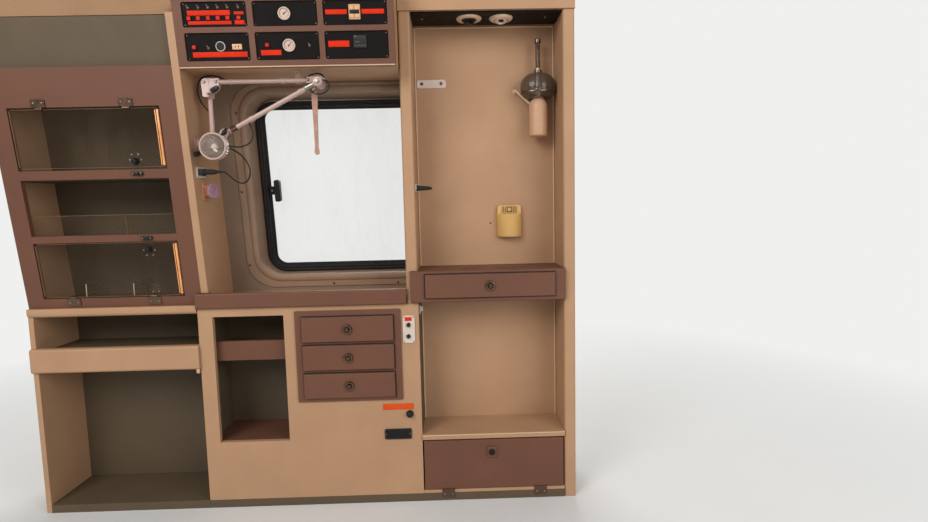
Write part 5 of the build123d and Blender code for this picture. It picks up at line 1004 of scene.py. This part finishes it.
# Switch plate and its knobs, label strip, turn knob, screws, end clip of the shelf lip, hatch lock
SWITCH_Y = -4.1
Piece("switch_plate", "plate_white", replaces=["control_plate"]).plate(
    front(373, -0.2, 654.5), 44, 101, 4, ((0, 0), (0, 3), (1, 4)), foot=True).done()
Piece("switch_label", "label_red").slab(front(372, -4, 692.4), 25, 14, 0.9, 1, 0.3).done()
knobs = Piece("switch_knobs", "fitting_black")
rings = Piece("switch_rings", "chrome")
for x, z in ((372.5, 671), (371.5, 629)):
    place = front(x, SWITCH_Y, z)
    rings.turned(place, ((9.4, 0), (9.4, 1.4), (8.4, 2.2), (7.2, 2.2), (6.8, 0)), 36, loop=True)
    knobs.turned(place, ((7.1, 0), (6.8, 6), (5.6, 8.4), (3, 9)), 32, foot=True)
knobs.turned(front(367, 0, 338), ((14, 0), (14, 3), (12, 5), (10.4, 15), (8, 17), (4, 17.4)), 40,
             foot=True).done()
rings.done()
screws("plate_screws", "zinc",
       [(front(x, SWITCH_Y, z), 2.6, x + z) for x in (356, 390) for z in (609, 700)]
       + [(front(x, -5.2, 264), 2.2, x) for x in (278, 366)])
Piece("label_strip", "orange_strip").slab(front(325.5, 0, 366.5), 113, 22, 1.6, 1.5).done()
end_clip = Piece("lip_clip", "trim_pale")
end_clip.slab(front(-390, -2, 522), 11, 15, 6, 2.5).slab(front(-390, -8, 519), 6, 6, 3, 2, 1).done()
turn_knob = Piece("hatch_turn", "fitting_black", "hatch")
turn_knob.turned(front(666, -9, 186), ((12, 0), (12, 2), (10.6, 3.6), (7, 4)), 40)
turn_knob.slab(front(666, -12.4, 186, 0.6), 20, 5, 7, 2.4, 1.4).done()

# Pale line along the foot of the console: a painted highlight of light catching its edge
Piece("console_foot_highlight", "trim_pale").wire(
    [(-338.6, -96.2, 1563.6), (365, -96.2, 1563.6)], 2.2).done()

# Outside of the body panel: rivets, rubber plugs, rub rail and drip rail
SWAGES = (430, 700)
RUB_Z = 565
rivets = Piece("skin_rivets", "outer_paint")
level_rows = [(x, z) for x in range(-950, 951, 95) for z in (34, 1800)]
upright_rows = [(x, z) for z in range(110, 1790, 105) for x in (-958, 958)
                if min(abs(z - swage) for swage in SWAGES) > 14]
for x, z in level_rows + upright_rows:
    rivets.turned(on_skin(x, z), ((4.6, 0), (4.2, 1), (2.6, 1.8)), 16)
rivets.done()
plugs = Piece("skin_plugs", "rubber_black")
for x in (-700, -240, 240, 700):
    plugs.turned(on_skin(x, 96), ((13, 0), (13, 1.4), (11, 2.6), (7, 2.8), (6, 1.6)), 36)
plugs.done()
rail = Piece("rub_rail", "rubber_black")
rail.slab(on_skin(0, RUB_Z), 1880, 46, 5.6, 4, 2)
for rise in (-10, 0, 10):
    rail.slab(on_skin(0, RUB_Z + rise, 5.4), 1860, 3, 0.5, 1, 0.2)
rail.done()
Piece("drip_rail", "outer_paint").prism(on_skin(0, 1590) @ facing(Vector((-930, 0, 0)), RIGHT), (
    (0, 0), (0, 14), (-2, 14), (-3, 3), (-10, 2), (-12, 6), (-13.4, 5), (-12, -1)), 1860).done()



def mixed(tree, output, cover, one, other):
    """One shader turned into another by a cover, at the surface of an output node."""
    mix = tree.nodes.new("ShaderNodeMixShader")
    for socket, source in zip(mix.inputs, (cover, one, other)):
        tree.links.new(source, socket)
    tree.links.new(mix.outputs["Shader"], tree.nodes[output].inputs["Surface"])


# Floor: pale near the object, and the colour of the backdrop far from it
BACKDROP = shade(240, 240, 238)
FLOOR_SIZE = 120
FADE_FROM, FADE_TO = 1.3, 3.6
bpy.ops.mesh.primitive_plane_add(size=FLOOR_SIZE, location=(0, 0, 0))
floor = bpy.context.object
floor.name = "floor"
paint = Material("floor_look", shade(216, 215, 212), 0.7)
paint.mottle(3.0, 0.012).relief(60, 0.02, 0.0002).done()
far = paint.worked("ShaderNodeVectorMath", "LENGTH", paint.coords).outputs["Value"]
rays = paint.new("ShaderNodeLightPath")
glow = paint.new("ShaderNodeEmission", Color=BACKDROP, Strength=1.0)
fade = paint.times(paint.spread(far, FADE_FROM, FADE_TO), rays.outputs["Is Camera Ray"])
mixed(paint.tree, "Material Output", fade, paint.bsdf.outputs["BSDF"], glow.outputs["Emission"])
floor.data.materials.append(paint.data)

# Light: a plain sky that shows as the backdrop, and three soft lamps
SKY_LIGHT = 0.42
scene = bpy.context.scene
world = bpy.data.worlds.new("studio")
scene.world = world
world.use_nodes = True
sky = world.node_tree
plain = sky.nodes["Background"]
plain.inputs["Color"].default_value = (1, 1, 1, 1)
plain.inputs["Strength"].default_value = SKY_LIGHT
seen = sky.nodes.new("ShaderNodeBackground")
seen.inputs["Color"].default_value = BACKDROP
seen.inputs["Strength"].default_value = 1.0
rays = sky.nodes.new("ShaderNodeLightPath")
mixed(sky, "World Output", rays.outputs["Is Camera Ray"], plain.outputs["Background"],
      seen.outputs["Background"])
for name, spot, aim, size, power in (
    ("key_light", (-1.6, -3.0, 2.9), (0.0, 0.1, 0.9), 2.2, 95),
    ("fill_light", (2.6, -2.6, 1.9), (0.0, 0.1, 0.9), 2.4, 55),
    ("back_light", (0.4, 3.6, 2.8), (0.0, 0.2, 0.9), 3.0, 110),
):
    data = bpy.data.lights.new(name, "AREA")
    data.shape = "DISK"
    data.size = size
    data.energy = power
    lamp = bpy.data.objects.new(name, data)
    scene.collection.objects.link(lamp)
    lamp.location = spot
    lamp.rotation_euler = (Vector(aim) - Vector(spot)).to_track_quat("-Z", "Y").to_euler()

# Camera at the photo's place
PITCH = radians(5.636)
YAW = radians(1.146)
ROLL = radians(1.289)
EYE_SPOT = (0.540, -2.000, 1.095)
FOCAL_PX = 560
PHOTO_W = 928
CENTRE_PX = 464.5
ahead = Vector((sin(YAW) * cos(PITCH), cos(YAW) * cos(PITCH), -sin(PITCH)))
level = ahead.cross(UP).normalized()
below = ahead.cross(level)
right = level * cos(ROLL) + below * sin(ROLL)
down = below * cos(ROLL) - level * sin(ROLL)
eye = bpy.data.cameras.new("camera")
eye.sensor_width = 36
eye.lens = FOCAL_PX * eye.sensor_width / PHOTO_W
eye.shift_x = (PHOTO_W / 2 - CENTRE_PX) / PHOTO_W
eye.clip_start = 0.05
camera = bpy.data.objects.new("camera", eye)
turn = Matrix((right, -down, -ahead)).transposed().to_4x4()
camera.matrix_world = Matrix.Translation(EYE_SPOT) @ turn
scene.collection.objects.link(camera)
scene.camera = camera
scene.view_settings.view_transform = "Standard"
